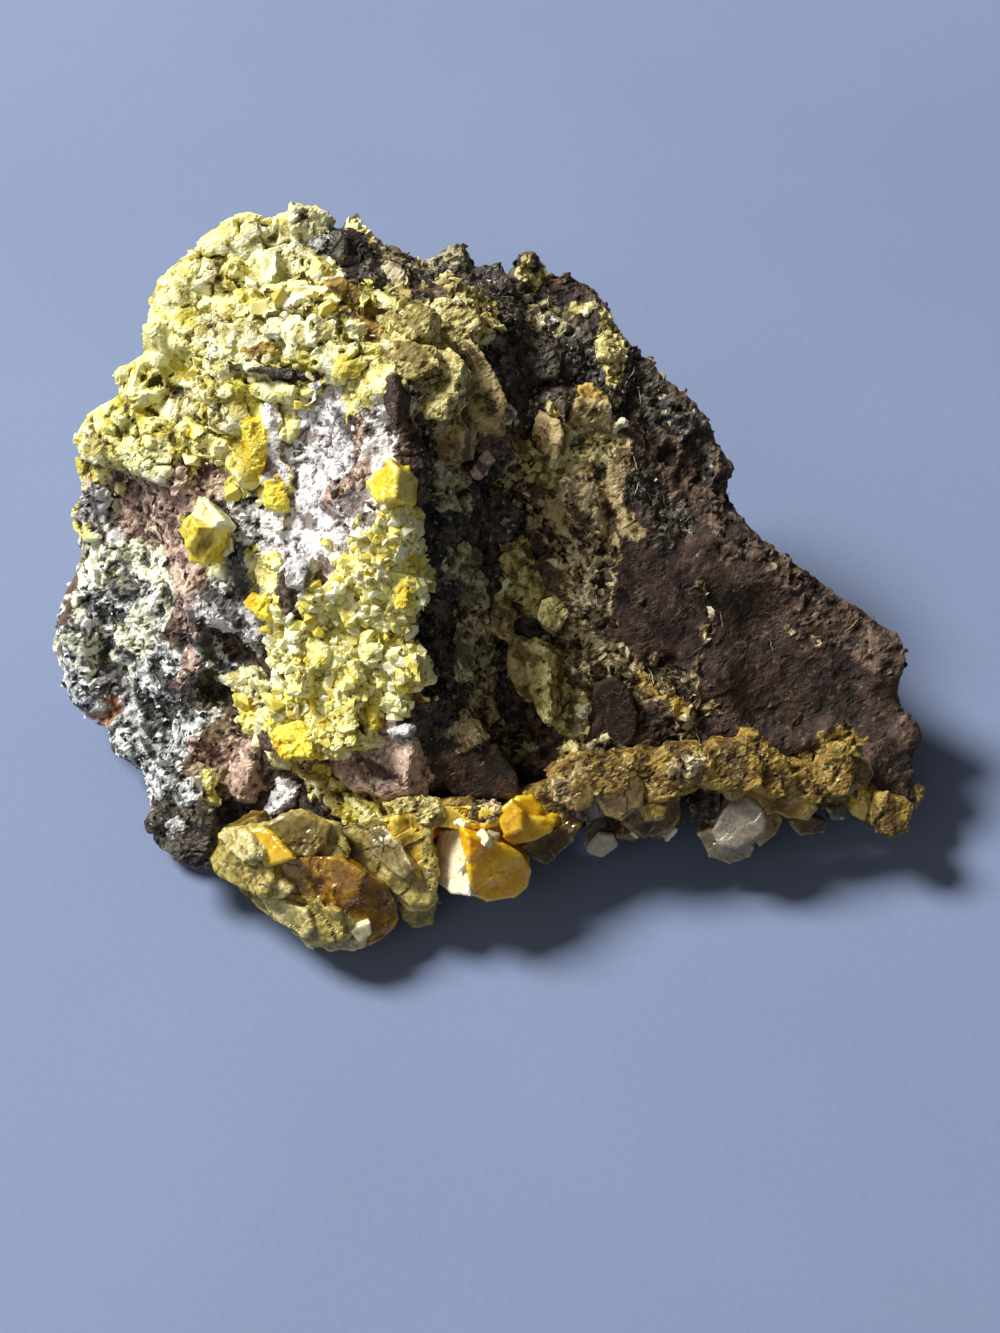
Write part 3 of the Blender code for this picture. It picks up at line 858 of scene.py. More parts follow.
class Skin:
    """A fine closed skin in millimetres, which is cut and broken up before it becomes a piece."""

    def __init__(self, name: str, mesh: bpy.types.Mesh) -> None:
        """Takes over a mesh.

        Args:
            name: Name of the piece.
            mesh: Closed mesh in millimetres.
        """
        self.name = name
        self.obj = link(name, mesh)
        self.read()

    @classmethod
    def over(cls, name: str, nodes: tuple[str, ...], voxel: float) -> "Skin":
        """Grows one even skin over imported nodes.

        Args:
            name: Name of the piece.
            nodes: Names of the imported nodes.
            voxel: Width of the skin's faces in millimetres.

        Returns:
            The skin.
        """
        joined = packed(nodes)
        mesh = bpy.data.meshes.new(name)
        joined.to_mesh(mesh)
        joined.free()
        skin = cls(name, mesh)
        skin.remesh(voxel)
        return skin

    def read(self) -> None:
        """Reads the mesh into arrays."""
        mesh = self.obj.data
        count = len(mesh.vertices)
        self.points = np.empty(count * 3)
        mesh.vertices.foreach_get("co", self.points)
        self.points = self.points.reshape(-1, 3)
        self.edges = np.empty(len(mesh.edges) * 2, np.int64)
        mesh.edges.foreach_get("vertices", self.edges)
        self.edges = self.edges.reshape(-1, 2)
        self.links = np.maximum(np.bincount(self.edges.ravel(), minlength=count), 1)
        self.face()

    def face(self) -> None:
        """Works out which way the skin faces at each point."""
        self.obj.data.update()
        self.normals = np.empty(len(self.points) * 3)
        self.obj.data.vertex_normals.foreach_get("vector", self.normals)
        self.normals = self.normals.reshape(-1, 3)

    def write(self) -> None:
        """Writes the points back to the mesh."""
        self.obj.data.vertices.foreach_set("co", self.points.ravel())
        self.face()

    def remesh(self, voxel: float) -> None:
        """Makes the faces even again.

        Args:
            voxel: Width of a face in millimetres.
        """
        modifier = self.obj.modifiers.new("Even skin", "REMESH")
        modifier.mode = "VOXEL"
        modifier.voxel_size = voxel
        graph = bpy.context.evaluated_depsgraph_get()
        mesh = bpy.data.meshes.new_from_object(self.obj.evaluated_get(graph))
        self.obj.modifiers.clear()
        old = self.obj.data
        self.obj.data = mesh
        bpy.data.meshes.remove(old)
        self.read()

    def push(self, heights: np.ndarray) -> None:
        """Moves the points along their normals, by heights in millimetres."""
        self.points += self.normals * heights[:, None]
        self.write()

    def blur(self, values: np.ndarray, rounds: int) -> np.ndarray:
        """Evens values out over the skin.

        Args:
            values: One value, or one row of values, for each point.
            rounds: How many times each point takes its neighbours' mean.

        Returns:
            The values, evened out.
        """
        rows = values.reshape(len(values), -1).copy()
        start, end = self.edges.T
        count = len(rows)
        for _ in range(rounds):
            for column in range(rows.shape[1]):
                line = rows[:, column]
                total = np.bincount(start, line[end], count) + np.bincount(end, line[start], count)
                rows[:, column] = 0.3 * line + 0.7 * total / self.links
        return rows.reshape(values.shape)

    def broad_normals(self, rounds: int = 14) -> np.ndarray:
        """The way the skin faces over a millimetre or two, evened out over some rounds."""
        normals = self.blur(self.normals, rounds)
        return normals / np.maximum(np.linalg.norm(normals, axis=1), 1e-6)[:, None]

    def hollows(self, rounds: int, depth: float) -> np.ndarray:
        """How deep each point lies in a hollow, from -1 on a crest to 1; more rounds find wider ones."""
        gap = self.blur(self.points, rounds) - self.points
        return np.clip(np.einsum("ij,ij->i", gap, self.normals) / depth, -1, 1)

    def creases(self, *layers: tuple[float, int, float]) -> np.ndarray:
        """Hollows of several widths laid over each other, each given by its weight, rounds and depth."""
        return sum(weight * self.hollows(rounds, depth) for weight, rounds, depth in layers)

    def hand_over(self, material: bpy.types.Material, nodes: tuple[str, ...], slot: str) -> bpy.types.Object:
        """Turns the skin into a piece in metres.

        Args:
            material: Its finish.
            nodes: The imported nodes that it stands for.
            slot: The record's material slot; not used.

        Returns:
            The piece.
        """
        self.obj.data.transform(Matrix.Scale(MM, 4))
        self.obj.data.materials.clear()
        self.obj.data.materials.append(material)
        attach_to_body(self.obj, BODY)
        if nodes:
            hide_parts(*nodes)
        triangles = sum(len(face.vertices) - 2 for face in self.obj.data.polygons)
        log.info("%s: %d triangles", self.name, triangles)
        return self.obj


@dataclass(frozen=True)
class Relief:
    """Breaks a skin up as its minerals ask.

    Attributes:
        chip: Width of the large flats in millimetres.
        block: Width of the middle blocks.
        grain: Width of the fine grains.
        scale: Share of each mineral's own depth that is used.
        crevice: Depth of the seams between flats and blocks, in millimetres.
        bend: How far the seams stray from straight, in millimetres.
        pit: Width of the cells that may hold a pit.
        pit_rarity: Share of those cells that hold none.
    """

    chip: float = 3.2
    block: float = 1.25
    grain: float = 0.62
    scale: float = 1.0
    crevice: float = 0.22
    bend: float = 0.5
    pit: float = 1.15
    pit_rarity: float = 0.86

    def depths(self, shares: np.ndarray, name: str) -> np.ndarray:
        """One of the minerals' numbers at each point, mixed as the minerals lie."""
        return shares @ np.array([getattr(mineral.value, name) for mineral in MINERALS])

    def coarse(self, skin: Skin, shares: np.ndarray) -> None:
        """Breaks the skin into large flats, as deep as the minerals there ask."""
        chips = Cells.at(skin.points, self.chip, Seed.CHIPS).flats()
        skin.push(self.depths(shares, "chip") * chips * self.scale)

    def fine(self, skin: Skin, shares: np.ndarray) -> np.ndarray:
        """Breaks the skin into blocks and grains.

        Args:
            skin: The skin, which is changed.
            shares: How much of each mineral lies at each point.

        Returns:
            The tone of each point, from 0 to 1, which its blocks and grains share, darkened along the seams and in
            the pits as painted shade and in part as darker stone showing through.
        """
        bends = [soft_noise(skin.points, 1.1, Seed.BENDS + axis) for axis in range(3)]
        bent = skin.points + self.bend * np.stack(bends, axis=1)
        blocks = Cells.at(bent, self.block, Seed.BLOCKS)
        grains = Cells.at(skin.points, self.grain, Seed.GRAINS)
        dust = fractal(skin.points, 0.8, Seed.DUST, 2)
        torn = smooth_step(fractal(skin.points, 3.4, Seed.TEARS, 2), -0.15, 0.35)
        gap = Cells.at(bent, self.chip * 0.8, Seed.SEAMS).edge * self.chip * 0.8
        seams = torn * (1 - smooth_step(gap, 0.04, 0.36))
        holes = Cells.at(bent, self.pit, Seed.PITS)
        pits = (holes.key[:, 1] > self.pit_rarity) * (1 - smooth_step(holes.near, 0.10, 0.30))
        seams = np.maximum(seams, pits) * np.clip(self.depths(shares, "chip") * 2 - 0.3, 0, 1.3)
        rise = self.depths(shares, "block") * blocks.flats(1.5) - self.crevice * seams
        rise += self.depths(shares, "grain") * (0.9 * grains.flats(1.6) + 0.25 * grains.bumps() - 0.10 + 0.5 * dust)
        skin.push(rise * self.scale)
        tone = 0.42 * (grains.key[:, 2] - 0.5) + 0.38 * (blocks.key[:, 2] - 0.5) + 0.16 * dust
        # The seams and pits darken the tone: painted shade in these recesses, and in part darker stone showing in
        # them.
        return np.clip(0.5 + tone * self.depths(shares, "contrast") - 0.65 * seams, 0, 1)


# --- materials


class Value:
    """A socket of a node graph, on which arithmetic adds Math nodes."""

    def __init__(self, graph: "Graph", socket: bpy.types.NodeSocket) -> None:
        """Wraps an output socket of a graph."""
        self.graph = graph
        self.socket = socket

    def math(self, operation: str, *others: "Value | float") -> "Value":
        """Adds a Math node that takes this value and others."""
        return self.graph.node("ShaderNodeMath", {"operation": operation}, (self, *others))

    def __add__(self, other: "Value | float") -> "Value":
        """Sum."""
        return self.math("ADD", other)

    __radd__ = __add__

    def __sub__(self, other: "Value | float") -> "Value":
        """Difference."""
        return self.math("SUBTRACT", other)

    def __rsub__(self, other: float) -> "Value":
        """Reflected difference."""
        return self.graph.node("ShaderNodeMath", {"operation": "SUBTRACT"}, (other, self))

    def __mul__(self, other: "Value | float") -> "Value":
        """Product."""
        return self.math("MULTIPLY", other)

    __rmul__ = __mul__

    def eased(self, low: float, high: float) -> "Value":
        """The value, eased from 0 at low to 1 at high."""
        settings = {"interpolation_type": "SMOOTHSTEP"}
        return self.graph.node("ShaderNodeMapRange", settings, (self, low, high, 0.0, 1.0))


class Graph:
    """The node graph of one material."""

    def __init__(self, name: str) -> None:
        """Starts an empty material.

        Args:
            name: Its name.
        """
        self.material = bpy.data.materials.new(name)
        self.material.use_nodes = True
        self.tree = self.material.node_tree
        self.tree.nodes.clear()

    def node(
        self,
        kind: str,
        settings: dict | None = None,
        values: tuple | dict = (),
        output: int | str = 0,
    ) -> Value:
        """Adds a node.

        Args:
            kind: The node's type.
            settings: Its settings; stops are a ramp's positions and colours.
            values: Numbers, colours or values for its inputs, in order or by name.
            output: Which output is returned.

        Returns:
            The chosen output.
        """
        made = self.tree.nodes.new(kind)
        for name, setting in (settings or {}).items():
            if name == "stops":
                self.set_stops(made.color_ramp, setting)
            else:
                setattr(made, name, setting)
        pairs = values.items() if isinstance(values, dict) else enumerate(values)
        for key, value in pairs:
            if isinstance(value, Value):
                self.tree.links.new(value.socket, made.inputs[key])
            elif value is not None:
                made.inputs[key].default_value = value
        return Value(self, made.outputs[output]) if len(made.outputs) else None

    @staticmethod
    def set_stops(ramp: bpy.types.ColorRamp, stops: tuple) -> None:
        """Sets a ramp's colours.

        Args:
            ramp: The ramp.
            stops: Pairs of a position and a colour.
        """
        while len(ramp.elements) < len(stops):
            ramp.elements.new(0.5)
        for element, (position, colour) in zip(ramp.elements, stops):
            element.position = position
            element.color = (*colour, 1.0)

    def place(self) -> Value:
        """The place on the piece, in millimetres."""
        where = self.node("ShaderNodeTexCoord", output="Object")
        return self.node("ShaderNodeVectorMath", {"operation": "SCALE"}, {0: where, "Scale": 1 / MM})

    def stretched(self, axis: Colour, share: float) -> Value:
        """The place, drawn together along one way, so that what is laid by it comes out long.

        Args:
            axis: The way, of length one.
            share: How much it is drawn together, from 0 to 1.

        Returns:
            The place, in millimetres.
        """
        where = self.place()
        along = self.node("ShaderNodeVectorMath", {"operation": "DOT_PRODUCT"}, {0: where, 1: axis}, 1)
        back = self.node("ShaderNodeVectorMath", {"operation": "SCALE"}, {0: axis, "Scale": along * -share})
        return self.node("ShaderNodeVectorMath", {"operation": "ADD"}, {0: where, 1: back})

    def noise(self, size: float, detail: float = 2.0, where: Value | None = None) -> Value:
        """Noise from 0 to 1, its swells as wide as size in millimetres, with finer layers as detail."""
        values = {"Vector": where or self.place(), "Scale": 1 / size, "Detail": detail}
        return self.node("ShaderNodeTexNoise", {}, values)

    def cells(self, size: float) -> Value:
        """One random colour for each cell of stone, which is as wide as size in millimetres."""
        return self.node("ShaderNodeTexVoronoi", {}, {"Vector": self.place(), "Scale": 1 / size}, "Color")

    def stored(self, name: str) -> Value:
        """A number that the mesh stores at each point."""
        return self.node("ShaderNodeAttribute", {"attribute_name": name}, output="Fac")

    def ramp(self, value: Value, stops: tuple) -> Value:
        """A colour that follows a value."""
        return self.node("ShaderNodeValToRGB", {"stops": stops}, (value,))

    def mix(self, share: Value | float, first: Value | tuple, second: Value | tuple) -> Value:
        """A colour between two others, by the share of the second."""
        full = [(*c, 1.0) if isinstance(c, tuple) else c for c in (first, second)]
        return self.node("ShaderNodeMix", {"data_type": "RGBA"}, {0: share, 6: full[0], 7: full[1]}, 2)

    def part(self, colour: Value, channel: int) -> Value:
        """One channel of a colour."""
        return self.node("ShaderNodeSeparateColor", {}, (colour,), channel)

    def bump(self, height: Value, depth: float, strength: float = 1.0) -> Value:
        """A normal bent by a height from 0 to 1, where 1 stands for a depth in millimetres."""
        values = {"Height": height, "Distance": depth * MM, "Strength": strength}
        return self.node("ShaderNodeBump", {}, values)

    def principled(self, values: dict) -> Value:
        """A Principled shader with some inputs set or linked."""
        return self.node("ShaderNodeBsdfPrincipled", {}, values)

    def surface(self, shader: Value, volume: Value | None = None) -> bpy.types.Material:
        """Ends the graph.

        Args:
            shader: What the surface is.
            volume: What fills the piece.

        Returns:
            The material.
        """
        values = {"Surface": shader}
        if volume is not None:
            values["Volume"] = volume
        self.node("ShaderNodeOutputMaterial", {}, values)
        return self.material


@dataclass(frozen=True)
class RockFinish:
    """The finish of a skin that is painted with minerals.

    Attributes:
        name: Name of the material.
        minerals: What it shows, the ground first.
    """

    name: str
    minerals: tuple[Mineral, ...]

    def build(self) -> bpy.types.Material:
        """Makes the material.

        Returns:
            The material.
        """
        graph = Graph(self.name)
        tone = graph.stored("tone")
        hollow = graph.stored("hollow")
        fine = graph.noise(0.16, 3.0)
        patchy = graph.noise(0.9, 3.0)
        flecks = graph.cells(0.34)
        fleck = graph.part(flecks, 0)
        tint = graph.part(flecks, 1)
        level = tone * 0.62 + (fine - 0.5) * 0.85 + (patchy - 0.5) * 0.6 + (tint - 0.5) * 0.22 + 0.17
        streaks = graph.noise(1.5, 4.0, graph.stretched((0.70, -0.60, -0.39), 0.6))
        # Hollows are darkened and crests made paler through the stored hollow measure: painted shade in the hollows.
        # The streaks are stains.
        level = level - hollow * 0.45 - (streaks - 0.5) * 0.7
        ragged = (fine - 0.5) * 0.6 + (tint - 0.5) * 0.35
        thread = (graph.noise(1.3, 3.0) - 0.5).math("ABSOLUTE").eased(0.030, 0.006)
        thread = thread * graph.noise(2.6, 2.0).eased(0.45, 0.60)
        colour = None
        roughness = None
        for mineral in self.minerals:
            look = mineral.value
            # The lowest stop, a quarter of the deep colour, is reached where the painted shade of hollows, seams and
            # pits is deepest.
            pit = tuple(0.25 * part for part in look.deep)
            shade = graph.ramp(level, ((0.0, pit), (0.12, look.deep), (0.42, look.middle), (0.85, look.pale)))
            dotted = (fleck + (fine - 0.5) * 0.3).eased(1 - look.specks - 0.04, 1 - look.specks + 0.04)
            shade = graph.mix(dotted, shade, look.speck)
            if look.blots < 1:
                stain = (streaks + (fine - 0.5) * 0.16).eased(look.blots, look.blots + 0.035)
                shade = graph.mix(stain * 0.85, shade, look.blot)
            if look.veins > 0:
                shade = graph.mix(thread * look.veins, shade, look.speck)
            matt = look.roughness - dotted * 0.3
            if colour is None:
                colour = shade
                roughness = matt
                continue
            share = (graph.stored("share_" + mineral.name.lower()) + ragged * 0.6).eased(0.32, 0.68)
            colour = graph.mix(share, colour, shade)
            roughness = roughness + (matt - roughness) * share
        values = {
            "Base Color": colour,
            "Roughness": roughness,
            "Specular IOR Level": 0.45,
            "Normal": graph.bump(fine * 0.6 + fleck * 0.3 + thread * 0.3, 0.13, 0.9),
        }
        return graph.surface(graph.principled(values))

    def store(self, skin: Skin, shares: np.ndarray, tone: np.ndarray, hollow: np.ndarray) -> None:
        """Stores on the skin what the material reads.

        Args:
            skin: The skin.
            shares: How much of each mineral lies at each point.
            tone: The tone of each point.
            hollow: How deep each point lies in a hollow, which the material darkens as painted shade.
        """
        mesh = skin.obj.data
        attach(mesh, "tone", tone)
        attach(mesh, "hollow", hollow)
        below = shares[:, MINERALS.index(self.minerals[0])].copy()
        for mineral in self.minerals[1:]:
            own = shares[:, MINERALS.index(mineral)]
            below = below + own
            attach(mesh, "share_" + mineral.name.lower(), own / np.maximum(below, 1e-6))


@dataclass(frozen=True)
class GemLook:
    """How a crystal looks.

    Attributes:
        deep: Colour of its depths and cracks, which are darkened towards it as painted shade.
        middle: Colour of most of it.
        pale: Colour of its palest tones, which its crests reach as the hollow measure lifts them.
        clear: How much light goes through, from 0 to 1.
        glow: How much light spreads under the skin.
        roughness: How matt its faces are.
        worn: How much of it is cloudy.
        density: How fast light fades inside.
        rugged: How much more its faces are broken up.
    """

    deep: Colour
    middle: Colour
    pale: Colour
    clear: float = 0.5
    glow: float = 0.2
    roughness: float = 0.14
    worn: float = 0.3
    density: float = 90.0
    rugged: float = 1.0


class Gem(Enum):
    """Crystals by their colour."""

    AMBER = GemLook((0.20, 0.074, 0.000), (0.54, 0.27, 0.003), (0.86, 0.58, 0.07), 0.45, 0.3, 0.24, 0.20, 40.0, 2.2)
    GOLD = GemLook((0.74, 0.28, 0.000), (0.98, 0.50, 0.000), (1.0, 0.72, 0.03), 0.1, 0.5, 0.22, 0.03, 20.0, 1.4)
    ORANGE = GemLook((0.52, 0.22, 0.001), (0.86, 0.50, 0.006), (0.94, 0.72, 0.07), 0.2, 0.3, 0.18, 0.06, 30.0, 1.2)
    LEMON = GemLook((0.46, 0.30, 0.003), (0.82, 0.66, 0.02), (0.94, 0.86, 0.18), 0.10, 0.25, 0.28, 0.3, 40.0, 2.2)
    PEACH = GemLook((0.72, 0.56, 0.33), (0.94, 0.82, 0.56), (0.98, 0.92, 0.70), 0.02, 0.2, 0.26, 0.4, 40.0)
    # This cream also makes the small chips that stand for painted highlights on the front and edge crystals.
    CREAM = GemLook((0.52, 0.45, 0.16), (0.87, 0.83, 0.45), (0.94, 0.93, 0.68), 0.08, 0.2, 0.24, 0.5, 40.0, 1.8)
    FLAKE = GemLook((0.22, 0.14, 0.008), (0.53, 0.43, 0.095), (0.86, 0.80, 0.42), 0.15, 0.25, 0.34, 0.45, 40.0, 3.0)
    CRUST = GemLook((0.06, 0.036, 0.003), (0.24, 0.175, 0.017), (0.54, 0.46, 0.13), 0.10, 0.2, 0.42, 0.8, 40.0, 3.4)
    PLATE = GemLook((0.07, 0.036, 0.002), (0.25, 0.165, 0.012), (0.52, 0.41, 0.11), 0.35, 0.2, 0.32, 0.3, 50.0, 1.6)
    MUSTARD = GemLook((0.16, 0.060, 0.001), (0.70, 0.44, 0.018), (0.92, 0.76, 0.15), 0.12, 0.2, 0.36, 0.6, 50.0, 3.4)
    HONEY = GemLook((0.10, 0.045, 0.002), (0.42, 0.25, 0.025), (0.68, 0.52, 0.15), 0.35, 0.2, 0.22, 0.25, 50.0, 1.5)
    TAN = GemLook((0.20, 0.12, 0.030), (0.54, 0.40, 0.16), (0.76, 0.66, 0.38), 0.15, 0.2, 0.30, 0.5, 40.0, 1.8)
    SMOKE = GemLook((0.07, 0.052, 0.016), (0.37, 0.29, 0.10), (0.66, 0.60, 0.38), 0.30, 0.15, 0.26, 0.35, 50.0, 1.6)
    UMBER = GemLook((0.030, 0.015, 0.002), (0.17, 0.10, 0.018), (0.46, 0.33, 0.10), 0.40, 0.1, 0.24, 0.3, 60.0, 1.8)
    MILK = GemLook((0.26, 0.22, 0.15), (0.52, 0.46, 0.34), (0.66, 0.60, 0.46), 0.08, 0.2, 0.35, 0.8, 30.0, 1.2)
    # The white hexagonal crystal's grey-beige, made darker than its white to stand for the shade on its front face:
    # painted shade.
    STONE = GemLook((0.08, 0.065, 0.045), (0.18, 0.155, 0.115), (0.38, 0.33, 0.24), 0.05, 0.1, 0.45, 0.5, 30.0, 1.4)
    GLASS = GemLook((0.02, 0.02, 0.015), (0.20, 0.18, 0.11), (0.60, 0.57, 0.42), 0.8, 0.0, 0.06, 0.15, 50.0, 1.5)


@dataclass(frozen=True)
class CrystalFinish:
    """The finish of clear or cloudy crystals.

    Attributes:
        name: Name of the material.
        look: How the crystal looks.
    """

    name: str
    look: GemLook

    def build(self) -> bpy.types.Material:
        """Makes the material.

        Returns:
            The material.
        """
        look = self.look
        graph = Graph(self.name)
        tone = graph.stored("tone")
        hollow = graph.stored("hollow")
        cloud = graph.noise(1.6, 4.0)
        fine = graph.noise(0.36, 4.0)
        # Hollows and cracks are darkened and crests made paler through the stored hollow measure: painted shade in
        # the hollows.
        level = tone * 0.55 + (cloud - 0.5) * 1.0 + (fine - 0.5) * 0.95 - hollow * 0.35 + 0.22
        colour = graph.ramp(level, ((0.1, look.deep), (0.5, look.middle), (0.95, look.pale)))
        worn = (graph.noise(1.1, 4.0) - hollow * 0.28).eased(0.78 - look.worn * 0.5, 0.92 - look.worn * 0.4)
        normal = graph.bump(fine * 0.6 + cloud * 0.4, 0.12, 0.5)
        glassy = graph.principled({
            "Base Color": colour,
            "Roughness": worn * 0.2 + look.roughness,
            "IOR": 1.8,
            "Transmission Weight": look.clear,
            "Subsurface Weight": look.glow,
            "Subsurface Radius": (0.9, 0.5, 0.12),
            "Subsurface Scale": MM,
            "Normal": normal,
        })
        waxy = graph.principled({
            "Base Color": graph.mix(fine.eased(0.35, 0.65), look.middle, look.pale),
            "Roughness": 0.5,
            "Specular IOR Level": 0.5,
            "Normal": normal,
        })
        shader = graph.node("ShaderNodeMixShader", {}, (worn * 0.8, glassy, waxy))
        bath = {"Color": (*look.middle, 1.0), "Density": look.density}
        return graph.surface(shader, graph.node("ShaderNodeVolumeAbsorption", {}, bath))


@dataclass(frozen=True)
class GrainFinish:
    """The finish of strewn grains, each with a tone of its own.

    Attributes:
        name: Name of the material.
        stops: Colours along the tone.
        roughness: How matt the grains are.
        glow: How much light spreads under the skin.
    """

    name: str
    stops: tuple[tuple[float, Colour], ...]
    roughness: float = 0.4
    glow: float = 0.0

    def build(self) -> bpy.types.Material:
        """Makes the material.

        Returns:
            The material.
        """
        graph = Graph(self.name)
        fine = graph.noise(0.22, 3.0)
        colour = graph.ramp(graph.stored("tone") + (fine - 0.5) * 0.22, self.stops)
        values = {
            "Base Color": colour,
            "Roughness": (fine - 0.5) * 0.3 + self.roughness,
            "Subsurface Weight": self.glow,
            "Subsurface Radius": (0.8, 0.5, 0.15),
            "Subsurface Scale": MM,
            "Normal": graph.bump(fine, 0.05, 0.6),
        }
        return graph.surface(graph.principled(values))


# --- grain forms


class GrainShape(Enum):
    """Forms that strewn grains have."""

    CHUNK = "chunk"
    BLADE = "blade"
    THREAD = "thread"


SQUASH = {GrainShape.CHUNK: (1.0, 0.85, 0.7), GrainShape.BLADE: (0.35, 0.9, 1.5)}
FORMS = 22


def solid_of(points: list[Vector]) -> tuple[np.ndarray, np.ndarray]:
    """The convex solid round some points.

    Args:
        points: Its corners.

    Returns:
        Its vertices, and its triangles as rows of three vertex numbers.
    """
    hull = bmesh.new()
    for point in points:
        hull.verts.new(point)
    found = bmesh.ops.convex_hull(hull, input=hull.verts)
    inside = [item for item in found["geom_interior"] if isinstance(item, bmesh.types.BMVert)]
    bmesh.ops.delete(hull, geom=inside, context="VERTS")
    bmesh.ops.triangulate(hull, faces=hull.faces)
    hull.verts.index_update()
    verts = np.array([vert.co for vert in hull.verts], float)
    faces = np.array([[vert.index for vert in face.verts] for face in hull.faces], np.int64)
    hull.free()
    return verts, faces


def thread_of(dice: random.Random) -> tuple[np.ndarray, np.ndarray]:
    """A thin crooked thread that lies flat.

    Args:
        dice: Source of chance.

    Returns:
        Its vertices, and its triangles as rows of three vertex numbers.
    """
    steps = 8
    heading = dice.uniform(0, 6.3)
    place = np.zeros(3)
    rings = []
    for step in range(steps):
        heading += dice.gauss(0, 0.5)
        place = place + np.array((math.cos(heading), math.sin(heading), 0.0)) * 0.3
        across = np.array((-math.sin(heading), math.cos(heading), 0.0))
        reach = 0.036 * (0.35 + 0.65 * math.sin(math.pi * step / (steps - 1)))
        middle = place + np.array((0, 0, dice.uniform(0.0, 0.10)))
        rings += [middle + across * reach, middle + np.array((0, 0, reach * 1.3)), middle - across * reach]
    verts = np.array(rings)
    verts[:, :2] -= verts[:, :2].mean(axis=0)
    faces = []
    for step in range(steps - 1):
        for side in range(3):
            low, near = 3 * step + side, 3 * step + (side + 1) % 3
            faces += [(low, near, near + 3), (low, near + 3, low + 3)]
    last = 3 * (steps - 1)
    faces += [(2, 1, 0), (last, last + 1, last + 2)]
    return verts, np.array(faces, np.int64)


def grain_forms(shape: GrainShape, count: int, seed: int) -> list[tuple[np.ndarray, np.ndarray]]:
    """Some forms of grain, of radius one.

    Args:
        shape: What kind they are.
        count: How many different ones.
        seed: Which set.

    Returns:
        Vertices and triangles of each.
    """
    dice = random.Random(seed)
    forms = []
    for _ in range(count):
        if shape is GrainShape.THREAD:
            forms.append(thread_of(dice))
            continue
        points = []
        for _ in range(dice.choice((9, 11, 13))):
            way = Vector((dice.gauss(0, 1), dice.gauss(0, 1), dice.gauss(0, 1))).normalized()
            way *= dice.uniform(0.75, 1.1)
            points.append(Vector([part * share for part, share in zip(way, SQUASH[shape])]))
        forms.append(solid_of(points))
    return forms


# --- chips and crystals


@dataclass(frozen=True)
class Chip:
    """A flat-faced block or crystal, given by the outline of its front face in the main view.

    Attributes:
        made_of: The mineral or crystal.
        facing: The way its front face looks.
        outline: Corners of the front face.
        thick: How far its body goes back, in millimetres.
        lift: How far the front face stands over the solids.
        taper: Width of its back, as a share of the front.
        bevel: Width of its worn edge, in millimetres.
    """

    made_of: Mineral | Gem
    facing: Colour
    outline: tuple[Pixel, ...]
    thick: float = 2.0
    lift: float = 0.3
    taper: float = 0.75
    bevel: float = 0.18

    @classmethod
    def table(cls, kinds: type[Enum], text: str) -> tuple["Chip", ...]:
        """Reads chips from rows of kind, facing, thickness, lift, then taper and bevel if unusual, and outline."""
        rows = rows_of(text)
        return tuple(cls(kinds[name], tuple(numbers[:3]), outline, *numbers[3:]) for name, numbers, outline in rows)

    def corners(self, atlas: Atlas) -> list[Vector]:
        """Corners of its body.

        Args:
            atlas: What casts it onto the solids.

        Returns:
            The corners in millimetres, or none where there is no stone behind it.
        """
        anchor = atlas.hit(self.outline)
        if anchor is None:
            log.warning("no stone behind %s", self.outline[0])
            return []
        normal = Vector(self.facing).normalized()
        anchor = anchor + normal * self.lift
        eye = atlas.view.eye
        front = []
        for pixel in self.outline:
            ray = atlas.view.ray(pixel)
            front.append(eye + ray * ((anchor - eye).dot(normal) / ray.dot(normal)))
        middle = sum(front, Vector()) / len(front)
        found = []
        for corner in front:
            arm = corner - middle
            inner = max(arm.length - self.bevel * 1.5, 0.3 * arm.length) / max(arm.length, 1e-6)
            found.append(middle + arm * inner)
            found.append(corner - normal * self.bevel)
            found.append(middle + arm * self.taper - normal * self.thick)
        return found


def joined_hulls(name: str, hulls: list[tuple[np.ndarray, np.ndarray]]) -> bpy.types.Mesh:
    """One mesh of several closed solids.

    Args:
        name: Name of the mesh.
        hulls: Vertices and triangles of each.

    Returns:
        The mesh.
    """
    verts, faces, first = [], [], 0
    for form, triangles in hulls:
        verts.append(form)
        faces.append(triangles + first)
        first += len(form)
    mesh = bpy.data.meshes.new(name)
    mesh.from_pydata(np.concatenate(verts).tolist(), [], np.concatenate(faces).tolist())
    return mesh


def core_of(node: str, shrink: float) -> tuple[np.ndarray, np.ndarray]:
    """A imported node, shrunk a little, which fills a crystal group from within.

    Args:
        node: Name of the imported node.
        shrink: How far its faces move in, in millimetres.

    Returns:
        Vertices and triangles.
    """
    core = packed((node,))
    bmesh.ops.triangulate(core, faces=core.faces)
    core.normal_update()
    core.verts.index_update()
    verts = np.array([vert.co - vert.normal * shrink for vert in core.verts], float)
    faces = np.array([[vert.index for vert in face.verts] for face in core.faces], np.int64)
    core.free()
    return verts, faces


